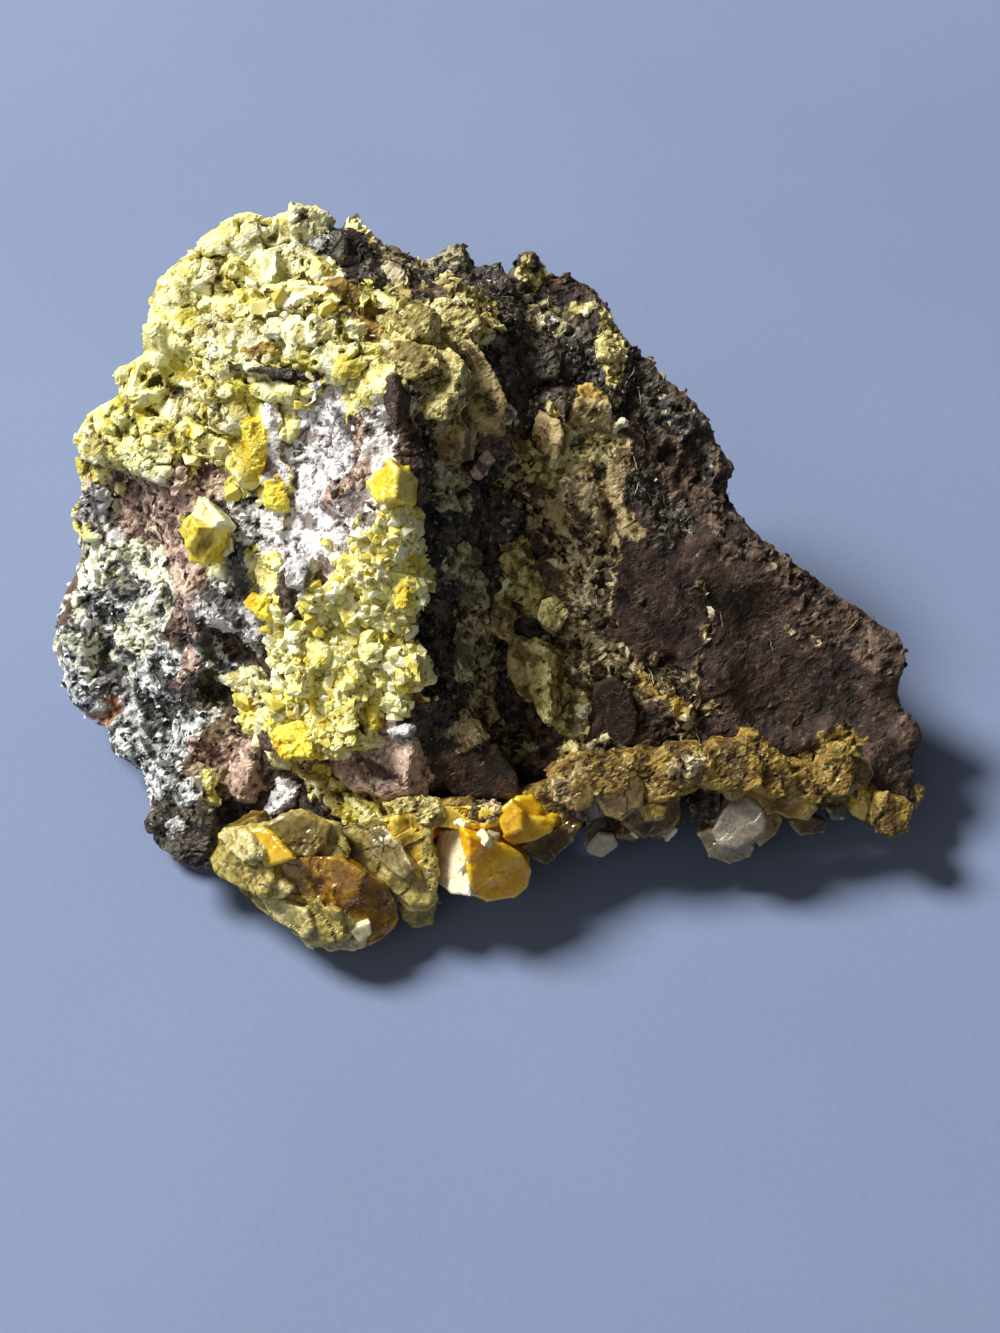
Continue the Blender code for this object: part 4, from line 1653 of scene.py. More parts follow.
@dataclass(frozen=True)
class BlockField:
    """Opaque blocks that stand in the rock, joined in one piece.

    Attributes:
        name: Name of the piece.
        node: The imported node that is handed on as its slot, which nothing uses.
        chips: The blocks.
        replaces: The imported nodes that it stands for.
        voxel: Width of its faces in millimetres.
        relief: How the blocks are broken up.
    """

    name: str
    node: str
    chips: tuple[Chip, ...]
    replaces: tuple[str, ...] = ()
    voxel: float = 0.2
    relief: Relief = Relief(1.8, 0.9, 0.5, 0.5, 0.16)

    def build(self, atlas: Atlas) -> bpy.types.Object:
        """Makes the piece.

        Args:
            atlas: What casts it onto the solids.

        Returns:
            The piece.
        """
        hulls, owners = [], []
        minerals = tuple(dict.fromkeys(chip.made_of for chip in self.chips))
        for chip in self.chips:
            corners = chip.corners(atlas)
            if not corners:
                continue
            hull = solid_of(corners)
            hulls.append(hull)
            owners += [minerals.index(chip.made_of)] * len(hull[1])
        mesh = joined_hulls(self.name, hulls)
        tree = BVHTree.FromPolygons([vert.co for vert in mesh.vertices], [face.vertices for face in mesh.polygons])
        skin = Skin(self.name, mesh)
        skin.remesh(self.voxel)
        shares = np.zeros((len(skin.points), len(MINERALS)))
        columns = [MINERALS.index(mineral) for mineral in minerals]
        for row, point in enumerate(skin.points):
            face = tree.find_nearest(Vector(point))[2]
            shares[row, columns[owners[face]]] = 1
        self.relief.coarse(skin, shares)
        tone = self.relief.fine(skin, shares)
        # The hollow measure, which the finish darkens as painted shade.
        hollow = skin.creases((0.4, 3, 0.12), (0.5, 12, 0.35))
        finish = RockFinish(self.name, minerals)
        finish.store(skin, shares, tone, hollow)
        return skin.hand_over(finish.build(), self.replaces, self.node)


@dataclass(frozen=True)
class CrystalGroup:
    """Crystals that have grown together.

    Attributes:
        node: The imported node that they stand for.
        body: What fills the group.
        chips: The crystals that are seen from the main view.
        shrink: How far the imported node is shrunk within, in millimetres.
        voxel: Width of the faces in millimetres.
        chipping: Depth of the chips in the faces.
    """

    node: str
    body: Gem
    chips: tuple[Chip, ...] = ()
    shrink: float = 0.35
    voxel: float = 0.16
    chipping: float = 0.10

    def build(self, atlas: Atlas) -> None:
        """Makes one piece for each kind of crystal in the group.

        Args:
            atlas: What casts the crystals onto the solids.
        """
        for gem in dict.fromkeys((self.body, *(chip.made_of for chip in self.chips))):
            hulls = [core_of(self.node, self.shrink)] if gem is self.body else []
            for chip in self.chips:
                corners = chip.corners(atlas) if chip.made_of is gem else []
                if corners:
                    hulls.append(solid_of(corners))
            if hulls:
                self.grow(gem, hulls)

    def grow(self, gem: Gem, hulls: list[tuple[np.ndarray, np.ndarray]]) -> None:
        """Makes the piece of one kind of crystal.

        Args:
            gem: The kind.
            hulls: Vertices and triangles of each crystal.
        """
        name = f"{self.node}_{gem.name.lower()}"
        skin = Skin(name, joined_hulls(name, hulls))
        skin.remesh(self.voxel)
        blocks = Cells.at(skin.points, 2.3, Seed.GEM_BLOCKS)
        grains = Cells.at(skin.points, 0.65, Seed.GEM_GRAINS)
        dents = fractal(skin.points, 2.4, Seed.GEM_DENTS, 2)
        steps = fractal(skin.points, 0.7, Seed.GEM_STEPS, 2)
        patch = smooth_step(fractal(skin.points, 2.2, Seed.GEM_PATCHES), 0.1, 0.6)
        rise = self.chipping * (0.6 * blocks.flats(1.2) + 1.0 * dents)
        rise += self.chipping * (0.10 + 0.5 * patch) * (1.4 * steps + 0.9 * grains.flats(1.4))
        skin.push(rise * gem.value.rugged)
        tone = np.clip(0.5 + 0.22 * (blocks.key[:, 2] - 0.5) + 0.3 * (grains.key[:, 2] - 0.5) + 0.35 * dents, 0, 1)
        # The hollow measure, which the finish darkens as painted shade.
        hollow = skin.creases((0.6, 3, 0.07), (0.6, 16, 0.3))
        attach(skin.obj.data, "tone", tone)
        attach(skin.obj.data, "hollow", hollow)
        stands_for = (self.node,) if gem is self.body else ()
        skin.hand_over(CrystalFinish(name, gem.value).build(), stands_for, self.node)


VALLEY_BLOCKS: tuple[Chip, ...] = Chip.table(Mineral, """
BRONZE -.5 -.5 .7  4 .5  537,409 559,420 562,439 553,464 544,474 525,481 528,439
OCHRE -.2 -.3 .9  2 .9  575,383 591,381 606,392 610,398 594,400 581,398
BRONZE .2 -.8 .6  4 .4  577,399 612,402 613,427 598,466 575,458 562,439
LICHEN -.4 -.4 .8  2.5 .5  495,409 502,402 511,415 496,424 487,423
CREAM -.5 -.4 .7  1 .6  605,429 622,417 625,421 609,433
MAUVE -.2 -.5 .8  2.5 .3  486,446 496,459 482,468 474,480 466,474
OLIVE -.4 -.5 .75  4 .6  493,543 512,540 530,560 524,586 508,580 489,556
BRONZE .1 -.6 .75  4 .5  512,540 534,552 536,574 520,592 510,582
CREAM -.5 -.6 .6  1.6 .7  496,583 506,568 512,574 508,594 498,597
LICHEN -.6 -.3 .7  2.5 .2  449,549 462,538 466,560 452,566
BRONZE -.4 -.4 .8  3 .4  478,596 500,590 512,612 500,640 486,630
OLIVE -.1 -.6 .8  3 .6  542,600 558,598 569,614 559,631 546,628 538,616
BRONZE -.5 -.5 .7  4 .5  506,630 520,638 536,673 533,702 517,695 505,667
OLIVE -.4 -.5 .75  3 .8 .9  518,642 534,638 548,652 546,684 552,708 547,726 536,712 537,676
BRONZE .3 -.6 .7  3 .7  540,640 554,650 556,684 552,706 545,684
TAN -.3 -.4 .8  3 .3  556,648 574,650 592,662 590,684 570,686 558,668
MAROON -.2 -.7 .7  5 .3  594,683 613,676 629,692 638,717 633,745 604,768 584,760 589,711
OLIVE -.4 -.5 .7  2 .9 .9  563,740 578,750 578,760 569,776 563,786 556,766
BRONZE .1 -.6 .8  3 .4  578,752 594,760 596,780 576,800 566,790
LICHEN -.2 -.6 .8  2 .6  571,704 590,702 587,726 571,742
MAROON -.1 -.7 .7  5 .4  439,776 456,754 495,745 517,776 521,800 483,799 452,796
LICHEN -.7 -.3 .6  1.6 .4  450,628 458,620 463,650 461,686 453,682
TAN -.5 -.5 .6  2 .3  466,716 480,738 452,758 440,752
TAN -.4 -.5 .7  2 .2  470,690 488,700 492,724 478,728
SOOT -.2 -.5 .8  4 .1  468,500 500,492 520,510 512,540 480,545 464,525
TAN .1 -.6 .8  3 .1  540,560 562,556 574,580 560,598 546,590
TAN .3 -.6 .7  3 .1  560,480 592,470 606,500 596,528 570,520
""")

# The thin black block in the slit under the ridge, from 246,367 to 324,378, is painted shade; the ochre block from
# 124,408 to 157,372 lies in the shoulder crease and paints shade there as well as ochre.
CAP_BLOCKS: tuple[Chip, ...] = Chip.table(Mineral, """
CREAM -.35 -.35 .87  3 .42 1.2 .25  243,268 252,250 272,246 282,262 274,284 256,284
CREAM -.15 -.35 .92  3 .36 1.2 .25  272,246 295,240 318,254 335,268 318,284 290,292 276,284
CREAM -.8 -.1 .5  3 .4 1.2 .25  281,214 288,206 295,203 290,226 285,232
YELLOW .2 -.7 .7  3 .36 1.2 .25  295,203 316,209 335,222 320,234 292,237 290,226
YELLOW -.5 -.4 .8  3 .3 1.2 .25  244,226 262,216 280,216 284,234 262,244
CREAM -.5 -.2 .85  3 .4 1.1 .2  230,242 246,230 256,244 242,258
YELLOW -.6 0 .8  3 .34 1.2 .25  205,252 222,240 236,260 226,280 208,274
CREAM -.7 0 .7  3 .4 1.2 .25  178,264 204,254 208,276 186,290
YELLOW -.7 -.1 .7  3 .5 1.2 .25  144,300 158,276 182,270 182,300 158,322
YELLOW -.5 -.4 .8  3 .3 1.2 .25  150,322 180,304 192,326 186,350 158,346
CREAM -.5 -.3 .8  3 .34 1.2 .25  192,320 210,312 224,322 227,348 206,362 190,345
YELLOW -.3 -.2 .95  3 .2 1.2 .25  206,284 232,276 242,296 226,314 206,306
CREAM -.4 -.5 .8  3 .3 1.2 .25  224,322 248,318 256,338 238,352 226,346
CREAM -.2 -.5 .8  3 .24 1.2 .25  262,316 286,308 292,328 276,340 262,334
YELLOW -.4 -.4 .8  3 .2 1.2 .25  236,290 256,288 262,310 244,318
CREAM -.2 -.4 .9  3 .24 1.2 .25  318,348 344,350 352,362 336,374 316,368
CREAM -.1 -.4 .9  3 .2 1.2 .25  296,322 320,318 334,336 314,348 296,342
HONEY .2 -.7 .7  3 .3 1.1 .2  330,286 345,278 380,304 386,320 358,314
SOOT .1 -.5 .85  3 .54 1.1 .3  312,250 333,229 352,228 364,239 380,282 384,295 368,290 337,268
SOOT -.5 -.3 .8  3 .7 1.1 .2  322,246 333,230 345,236 342,262 330,260
SALT -.2 -.3 .9  2 .3 1.1 .2  300,240 318,234 332,236 326,250 312,252
SOOT 0 -.5 .85  1.2 .25 .9 .1  246,367 262,366 312,370 324,378 296,379 268,375
YELLOW -.3 -.4 .85  3 .24 1.1 .25  246,382 290,386 322,384 322,394 280,398 250,394
CREAM -.3 -.3 .9  2 .4 1.1 .2  186,352 214,362 248,366 262,362 244,354 212,350
OCHRE 0 -.6 .8  2 .1 1.1 .2  240,349 262,345 284,348 272,356 250,358
# Shoulder.
YELLOW -.75 -.05 .65  3 .3 1.2 .25  126,372 146,348 158,352 150,372 128,402 112,402
OCHRE .5 -.5 .7  2 .25 1 .15  124,408 140,392 154,358 157,372 146,400 132,416
YELLOW -.5 -.3 .8  3 .2 1.2 .25  160,356 190,354 200,372 180,384 158,380
CREAM -.6 -.3 .75  3 .3 1.2 .25  154,385 180,378 198,388 194,412 170,420 150,408
YELLOW -.4 -.3 .85  3 .24 1.2 .25  196,378 224,370 248,382 232,396 206,398
YELLOW -.75 -.2 .65  3 .24 1.2 .25  84,414 110,398 126,412 112,430 88,436
CREAM -.8 -.2 .6  3 .4 1.2 .25  68,432 86,424 98,440 92,462 72,456
YELLOW -.6 -.5 .65  3 .24 1.2 .25  72,458 92,456 104,470 96,486 78,480
YELLOW -.5 -.5 .7  3 .24 1.2 .25  96,442 116,430 134,436 134,456 112,464
YELLOW -.5 -.4 .8  3 .3 1.2 .25  122,424 150,416 168,424 160,446 134,448
CREAM -.4 -.6 .7  3 .3 1.1 .25  118,458 138,448 164,450 172,470 158,486 132,474
YELLOW -.4 -.5 .75  3 .3 1.1 .25  170,424 184,424 180,452 170,462 164,446
YELLOW -.5 -.5 .7  3 .3 1.2 .25  186,428 208,424 222,446 206,462 184,452
CREAM -.5 -.3 .8  3 .3 1.2 .25  206,400 232,396 242,416 226,430 206,424
CANARY .2 -.6 .75  3 .3 1.2 .25  244,420 262,416 272,444 264,474 250,460
YELLOW -.5 -.4 .75  3 .3 1.2 .25  272,408 292,404 300,426 286,444 272,434
CANARY 0 -.6 .8  3 .3 1.2 .25  262,478 282,470 292,488 284,512 266,506
YELLOW -.5 -.4 .75  3 .24 1.2 .25  228,440 246,440 252,468 238,482 224,466
""")

FAR_BLOCKS: tuple[Chip, ...] = Chip.table(Mineral, """
OLIVE -.25 -.4 .87  4 .4  372,322 390,303 418,300 436,310 426,336 396,346 378,342
OLIVE 0 -.4 .9  4 .45  428,300 442,296 458,300 485,314 480,330 450,342 430,326
CREAM -.4 -.4 .8  1 .9 .8 .06  438,300 441,295 446,300
CREAM -.4 -.4 .8  1 .9 .8 .06  452,301 456,296 461,302
YELLOW -.3 -.4 .85  2 .8  388,338 404,332 412,344 398,348
LICHEN -.3 -.3 .9  3 .6  378,268 391,259 402,268 406,282 388,288
OLIVE -.1 -.5 .85  3 .5  384,288 404,280 412,296 400,302 386,300
OLIVE -.2 -.4 .9  2 .5  422,284 438,276 452,268 446,284 430,290
LICHEN -.4 -.3 .85  2 .1  536,324 556,314 570,322 562,336 547,338
SALT -.4 -.2 .9  1 .5  540,320 552,314 558,320 546,325
CREAM -.3 -.2 .9  1.5 .4  580,306 591,305 593,313 583,316
OLIVE .2 -.1 .95  3 .1  594,340 606,322 622,342 626,354 604,358
OLIVE -.2 -.4 .88  3 .35  372,342 404,338 436,346 440,366 414,380 388,372
OLIVE -.45 -.4 .78  3 .4  400,366 424,352 448,346 462,362 456,392 440,420 424,418 410,394
LICHEN -.5 -.4 .75  1.5 .7  424,380 440,372 446,392 438,412 428,404
BRONZE 0 -.5 .85  3 .45  446,344 474,340 492,366 508,402 500,428 472,430 450,404 440,376
CREAM -.2 -.5 .85  2 .7  494,408 506,400 516,412 508,426 496,424
BRONZE -.5 -.5 .7  2.5 .35  430,408 450,402 464,430 462,464 444,466 432,440
MAROON -.4 -.5 .75  2.5 .5  378,378 392,372 400,392 396,424 384,414
SOOT -.1 -.3 .95  4 .2  462,268 500,262 516,284 500,300 470,294
SOOT 0 -.4 .9  4 .2  500,318 530,344 560,348 558,378 520,384 492,352
""")

# The black block under the honey band, from 690,806 to 722,796, is painted shade in the cavity there.
EDGE_BLOCKS: tuple[Chip, ...] = Chip.table(Mineral, """
SOOT -.5 -.6 .6  3 .5 1  150,826 164,808 186,806 198,820 192,846 172,852 154,846
SLATE -.3 -.7 .7  2 1 1  164,826 178,816 190,826 184,840 170,842
MAUVE -.1 -.7 .7  2 .9 1  184,816 200,820 202,838 190,842
SOOT -.2 -.8 .5  3 .4 1  162,850 194,844 214,858 212,872 186,866
SOOT .1 -.8 .5  3 .3 1  196,820 216,822 220,850 206,856
HONEY -.1 -.6 .8  3 .7 1.1  546,772 570,752 604,750 634,764 630,792 590,800 560,792
TAN -.3 -.5 .8  2.5 .9 1  566,764 584,744 604,736 612,752 596,774 574,782
HONEY 0 -.6 .8  3 .8 1.1  600,768 632,750 668,752 696,764 700,786 664,802 616,804
HONEY -.1 -.6 .8  3 .9 1.1  646,760 668,744 700,748 718,766 704,784 664,786
TAN -.3 -.5 .85  1.5 1.3 1  664,764 684,752 702,756 700,770 680,776
HONEY 0 -.6 .8  3 .8 1.1  690,760 716,742 746,744 764,764 762,788 726,792 700,786
HONEY .1 -.6 .8  3 .8 1.1  740,758 748,732 758,732 766,748 788,758 800,788 776,800 750,790
HONEY .1 -.6 .8  3 .6 1.1  776,768 800,760 828,772 838,790 820,802 790,800
HONEY .2 -.5 .8  3 .7 1.1  826,784 830,756 842,742 856,748 858,770 850,792 836,800
BRONZE .2 -.5 .85  1.5 1 1  832,764 842,750 850,756 846,774
HONEY .3 -.5 .8  3 .3 1  848,782 870,770 894,772 902,796 896,812 876,806 856,800
MAROON .2 -.5 .85  3.5 .9 1  868,744 906,728 914,768 917,800 904,812 884,796 866,772
HONEY .1 -.6 .8  3 .9 1  880,792 904,798 916,806 911,828 892,838 872,826
SOOT .1 -.8 .5  3 .3 1  690,806 722,796 716,826 696,832
OLIVE -.2 -.6 .8  2.5 .6 1.1  296,774 326,772 362,808 356,824 330,806
YELLOW -.45 -.5 .7  2.5 .8 1.1  298,766 322,764 350,796 374,824 352,832 320,806
CREAM -.3 -.6 .8  1.5 .9 1.1  306,782 322,780 344,806 356,828 344,826 316,798
OLIVE 0 -.6 .8  2.5 .6 1.1  350,806 376,796 392,810 392,826 366,828
OLIVE 0 -.6 .8  2.5 .6 1.1  384,806 416,796 440,806 440,824 400,824
HONEY 0 -.6 .8  2.5 .6 1.1  436,802 466,798 484,806 470,820 440,818
TAN 0 -.6 .8  2.5 .9 1.1  470,806 496,800 506,812 490,824 470,822
HONEY .1 -.6 .8  2.5 .6 1.1  520,792 548,784 574,798 566,820 528,812
BRONZE .1 -.6 .8  2.5 .8 1.1  552,782 574,776 588,796 572,812 556,802
""")

DRUSE_BLOCKS: tuple[Chip, ...] = Chip.table(Mineral, """
MAUVE -.5 -.3 .8  3 .5 1.1  322,768 350,746 380,732 410,722 412,746 404,790 380,796 345,786
SLATE -.3 -.3 .9  1.5 .8 1  384,730 400,722 412,724 408,736 392,738
MAUVE -.6 -.3 .75  3 .4 1.1  218,742 240,732 254,744 248,776 238,800 220,790
FROST -.5 -.4 .75  2.5 .15 1.1  236,812 252,788 286,770 300,784 288,806 254,826
CREAM -.5 -.4 .75  2.5 .5 1.1  262,748 282,742 292,756 286,770 268,768
YELLOW -.5 -.4 .75  1.5 .5 1  196,776 204,764 210,776 212,804 202,808
SALT -.5 -.4 .75  2 .4 1.1  170,780 190,776 196,800 180,808 166,798
CANARY -.5 -.4 .8  4 .9  276,725 297,719 308,734 314,757 282,760 265,740
YELLOW -.6 -.4 .7  4 .9  322,708 346,705 355,744 330,754 320,745
CANARY -.4 -.4 .8  3 .8  299,690 319,697 316,713 298,711
YELLOW -.6 -.3 .75  3 .7  282,664 302,667 299,692 285,696
CREAM -.4 -.4 .8  3 .8  282,624 299,629 297,644 283,640
YELLOW -.5 -.4 .8  3.5 .9  303,640 316,638 326,648 326,666 312,670 304,658
YELLOW -.3 -.5 .8  3.5 .9  359,630 377,630 381,650 368,667 360,652
YELLOW -.4 -.4 .8  3 .7  399,654 416,650 419,680 404,683
YELLOW -.3 -.5 .8  3 .7  386,693 401,687 412,701 403,711 388,706
CANARY -.4 -.5 .7  3 .8  357,704 377,704 378,727 363,734 356,722
CANARY -.5 -.3 .8  3 .8  238,603 252,592 266,594 267,617 258,620
YELLOW -.5 -.3 .8  3.5 .7  252,552 278,550 280,575 274,601 256,580
CREAM -.4 -.4 .8  2 .6  266,646 277,646 272,661
YELLOW -.5 -.4 .75  2.5 .6  236,708 248,712 262,720 257,733 240,727
CANARY -.4 -.3 .85  2.5 .5  402,543 415,550 414,570 403,566
CANARY -.4 -.3 .85  3 .6  392,576 409,578 407,604 394,608
SLATE -.5 -.3 .8  3 .5  282,570 294,552 312,555 300,586 284,586
YELLOW -.5 -.4 .8  3 .8  336,664 352,660 358,680 344,690
YELLOW -.5 -.4 .8  3 .8  336,610 350,604 356,622 342,632
""")

CORNER_CHIPS: tuple[Chip, ...] = Chip.table(Gem, """
CRUST -.6 -.4 .7  4 .5  208,846 222,828 250,822 266,850 272,880 266,898 240,892 220,878 210,860
CRUST -.4 -.7 .55  4 .4  226,878 262,880 300,896 340,912 344,940 322,948 292,932 258,912 238,896
CRUST -.1 -.6 .8  4 .3  252,826 300,812 340,824 352,850 346,872 300,868 268,862
ORANGE -.35 -.45 .8  1.8 1.1  247,830 260,826 272,832 287,850 295,859 280,862 264,868 256,852
FLAKE -.7 -.3 .6  1.6 .9 .9 .08  216,834 236,826 248,834 256,856 244,862 230,846
PLATE 0 -.5 .85  2 .9  264,824 284,814 304,811 332,824 328,844 314,860 293,856 276,836
AMBER -.2 -.7 .7  5 .6  258,870 276,858 308,854 344,858 366,874 360,900 336,914 300,908 270,896
AMBER .25 -.75 .6  5 .6  330,888 360,870 384,880 398,902 400,920 388,940 364,950 340,940 328,914
FLAKE -.4 -.7 .55  1.6 1 .9 .08  252,882 276,882 290,892 282,900 262,896
FLAKE -.4 -.7 .5  2 .9 .9 .1  258,898 284,902 306,910 312,928 304,938 280,922
FLAKE -.1 -.8 .55  2.5 1 .9 .1  306,912 326,904 346,912 356,930 340,948 316,942
TAN -.2 -.8 .55  2.5 .9  300,898 324,894 344,902 338,914 312,912
FLAKE -.2 -.9 .4  2.5 .7  290,930 316,938 346,944 366,942 366,950 330,954 308,948
CREAM .1 -.8 .6  1.5 1.1 .9 .08  350,932 358,926 370,922 372,934 360,944
SMOKE 0 -.5 .85  2 .6  344,856 362,858 380,872 376,890 352,884
""")

# The small thin cream chips at 454,856 and 476,832 are painted highlights: pale glints laid on the central crystal.
FRONT_CHIPS: tuple[Chip, ...] = Chip.table(Gem, """
CRUST -.2 -.6 .75  4 .4  334,826 366,818 400,814 432,820 438,880 432,906 408,908 386,880 350,858
FLAKE -.3 -.4 .85  2 .8  336,832 352,826 366,838 384,857 376,867 353,854
SMOKE -.5 -.45 .75  3 .8  360,828 383,824 400,842 414,870 402,880 380,866 366,848
FLAKE 0 -.7 .7  3 .6  384,876 404,874 434,882 442,900 428,914 408,912 392,896
MUSTARD .1 -.6 .75  4 .9  380,820 404,812 426,816 436,838 435,874 420,882 406,862 392,840
CRUST .1 -.8 .5  2 .5  396,908 424,908 442,902 434,926 414,930
PEACH -.75 -.22 .65  4.5 1.1  435,829 466,828 467,886 468,896 448,893 432,880
CREAM -.75 -.22 .65  .8 1.35 .9 .06  454,856 463,846 466,862 458,872
CREAM -.4 -.2 .9  1.2 1.2 .9 .06  447,822 458,817 468,821 462,827
GOLD .35 -.75 .55  5 .9  467,834 488,845 506,845 524,857 534,872 531,887 516,899 488,903 470,896
CREAM -.5 -.1 .85  1.2 1.7 .8 .06  476,832 482,828 489,838 484,847 477,841
SMOKE -.1 -.6 .8  2 1.4  487,830 500,833 499,852 493,862 484,848
ORANGE -.35 -.45 .8  3 1.1  499,808 511,797 522,810 522,830 504,838 498,824
ORANGE .2 -.7 .7  3 .9  516,814 540,818 558,820 553,833 538,840 512,846 502,838
UMBER .2 -.6 .75  3 .6  520,846 542,836 560,826 583,824 574,842 560,856 548,868 534,862
MUSTARD 0 -.5 .85  2.5 .4  430,806 468,804 500,808 498,826 466,828 438,828
UMBER 0 -.5 .85  2.5 .4  556,806 578,798 592,812 584,826 560,822
""")

# The two small cream chips at 628,834 and 664,842 are painted highlights: pale glints laid on the honey lump.
EDGE_CHIPS: tuple[Chip, ...] = Chip.table(Gem, """
UMBER -.1 -.6 .8  4.5 .7  596,772 614,762 635,768 647,787 643,806 622,822 604,816 592,794
UMBER .1 -.75 .6  4.5 .6  640,784 668,778 683,798 681,820 664,838 642,840 621,823 634,806
HONEY .1 -.6 .8  2.5 1  638,808 652,800 668,806 664,820 646,822
CREAM -.4 -.7 .5  1 1.1 .8 .06  628,834 643,826 642,832 636,840
CREAM .3 -.7 .5  1 1.1 .8 .06  664,842 674,830 679,828 676,836 668,843
UMBER 0 -.5 .85  2.5 .5  574,776 596,785 592,806 576,812 565,790
SMOKE .1 -.4 .9  1.8 1  664,770 680,754 698,752 700,764 684,774 668,780
HONEY 0 -.7 .7  3 .7  715,786 742,778 766,790 778,812 770,816 752,796 724,800
HONEY .1 -.7 .7  3.5 .9  768,798 790,796 815,797 820,810 808,821 787,820 772,812
PLATE .1 -.6 .8  2.5 .4  822,785 846,776 852,790 828,804
GLASS .2 -.6 .7  2 .5  827,808 848,806 845,820 832,822
UMBER 0 -.7 .6  2 .2  786,820 812,816 830,822 826,836 800,838
UMBER 0 -.6 .8  2 .3  700,758 724,750 748,760 744,772 706,770
""")

# The hexagonal crystal's body is darkened as painted shade on its front face.
HEX_CHIPS: tuple[Chip, ...] = Chip.table(Gem, """
STONE -.1 -.6 .8  3.5 .9  727,803 748,795 760,805 767,819 766,832 754,844 738,850 723,848 711,832 720,820
SMOKE 0 -.85 .5  3 .6  697,834 711,830 725,848 754,846 752,858 730,866 708,858
HONEY .3 -.7 .6  3 .6  762,803 776,806 785,820 778,836 761,849 757,842 768,826
""")

END_CHIPS: tuple[Chip, ...] = Chip.table(Gem, """
MUSTARD -.1 -.6 .8  3.5 .8  848,794 862,788 880,796 886,814 876,828 862,824 850,808
UMBER 0 -.6 .8  3 .3  884,802 898,796 908,806 906,828 892,837 876,832
""")

SMALL_WHITE_CHIPS: tuple[Chip, ...] = Chip.table(Gem, """
MILK -.1 -.7 .7  2.5 .5  586,846 598,832 614,834 618,846 602,858 588,853
""")

SHOULDER_CHIPS: tuple[Chip, ...] = Chip.table(Gem, """
CREAM -.5 -.3 .8  2.5 .6  188,514 201,494 224,520 214,528 194,526
LEMON -.8 -.3 .5  3 .6  174,530 188,514 198,526 188,552
LEMON -.3 -.6 .75  3.5 .7  184,546 196,526 218,528 217,547 205,565 188,562
CREAM .1 -.5 .85  2.5 .5  221,534 233,537 234,550 224,556 217,547
CREAM -.2 -.6 .8  2 .3  212,570 226,566 226,580 216,580
""")

RIDGE_CHIPS: tuple[Chip, ...] = Chip.table(Gem, """
LEMON -.6 -.3 .7  3 .4  372,472 388,456 398,468 394,500 376,503 368,492
LEMON .2 -.6 .75  3 .4  398,466 411,464 414,488 404,503 394,500
""")


# --- the pieces


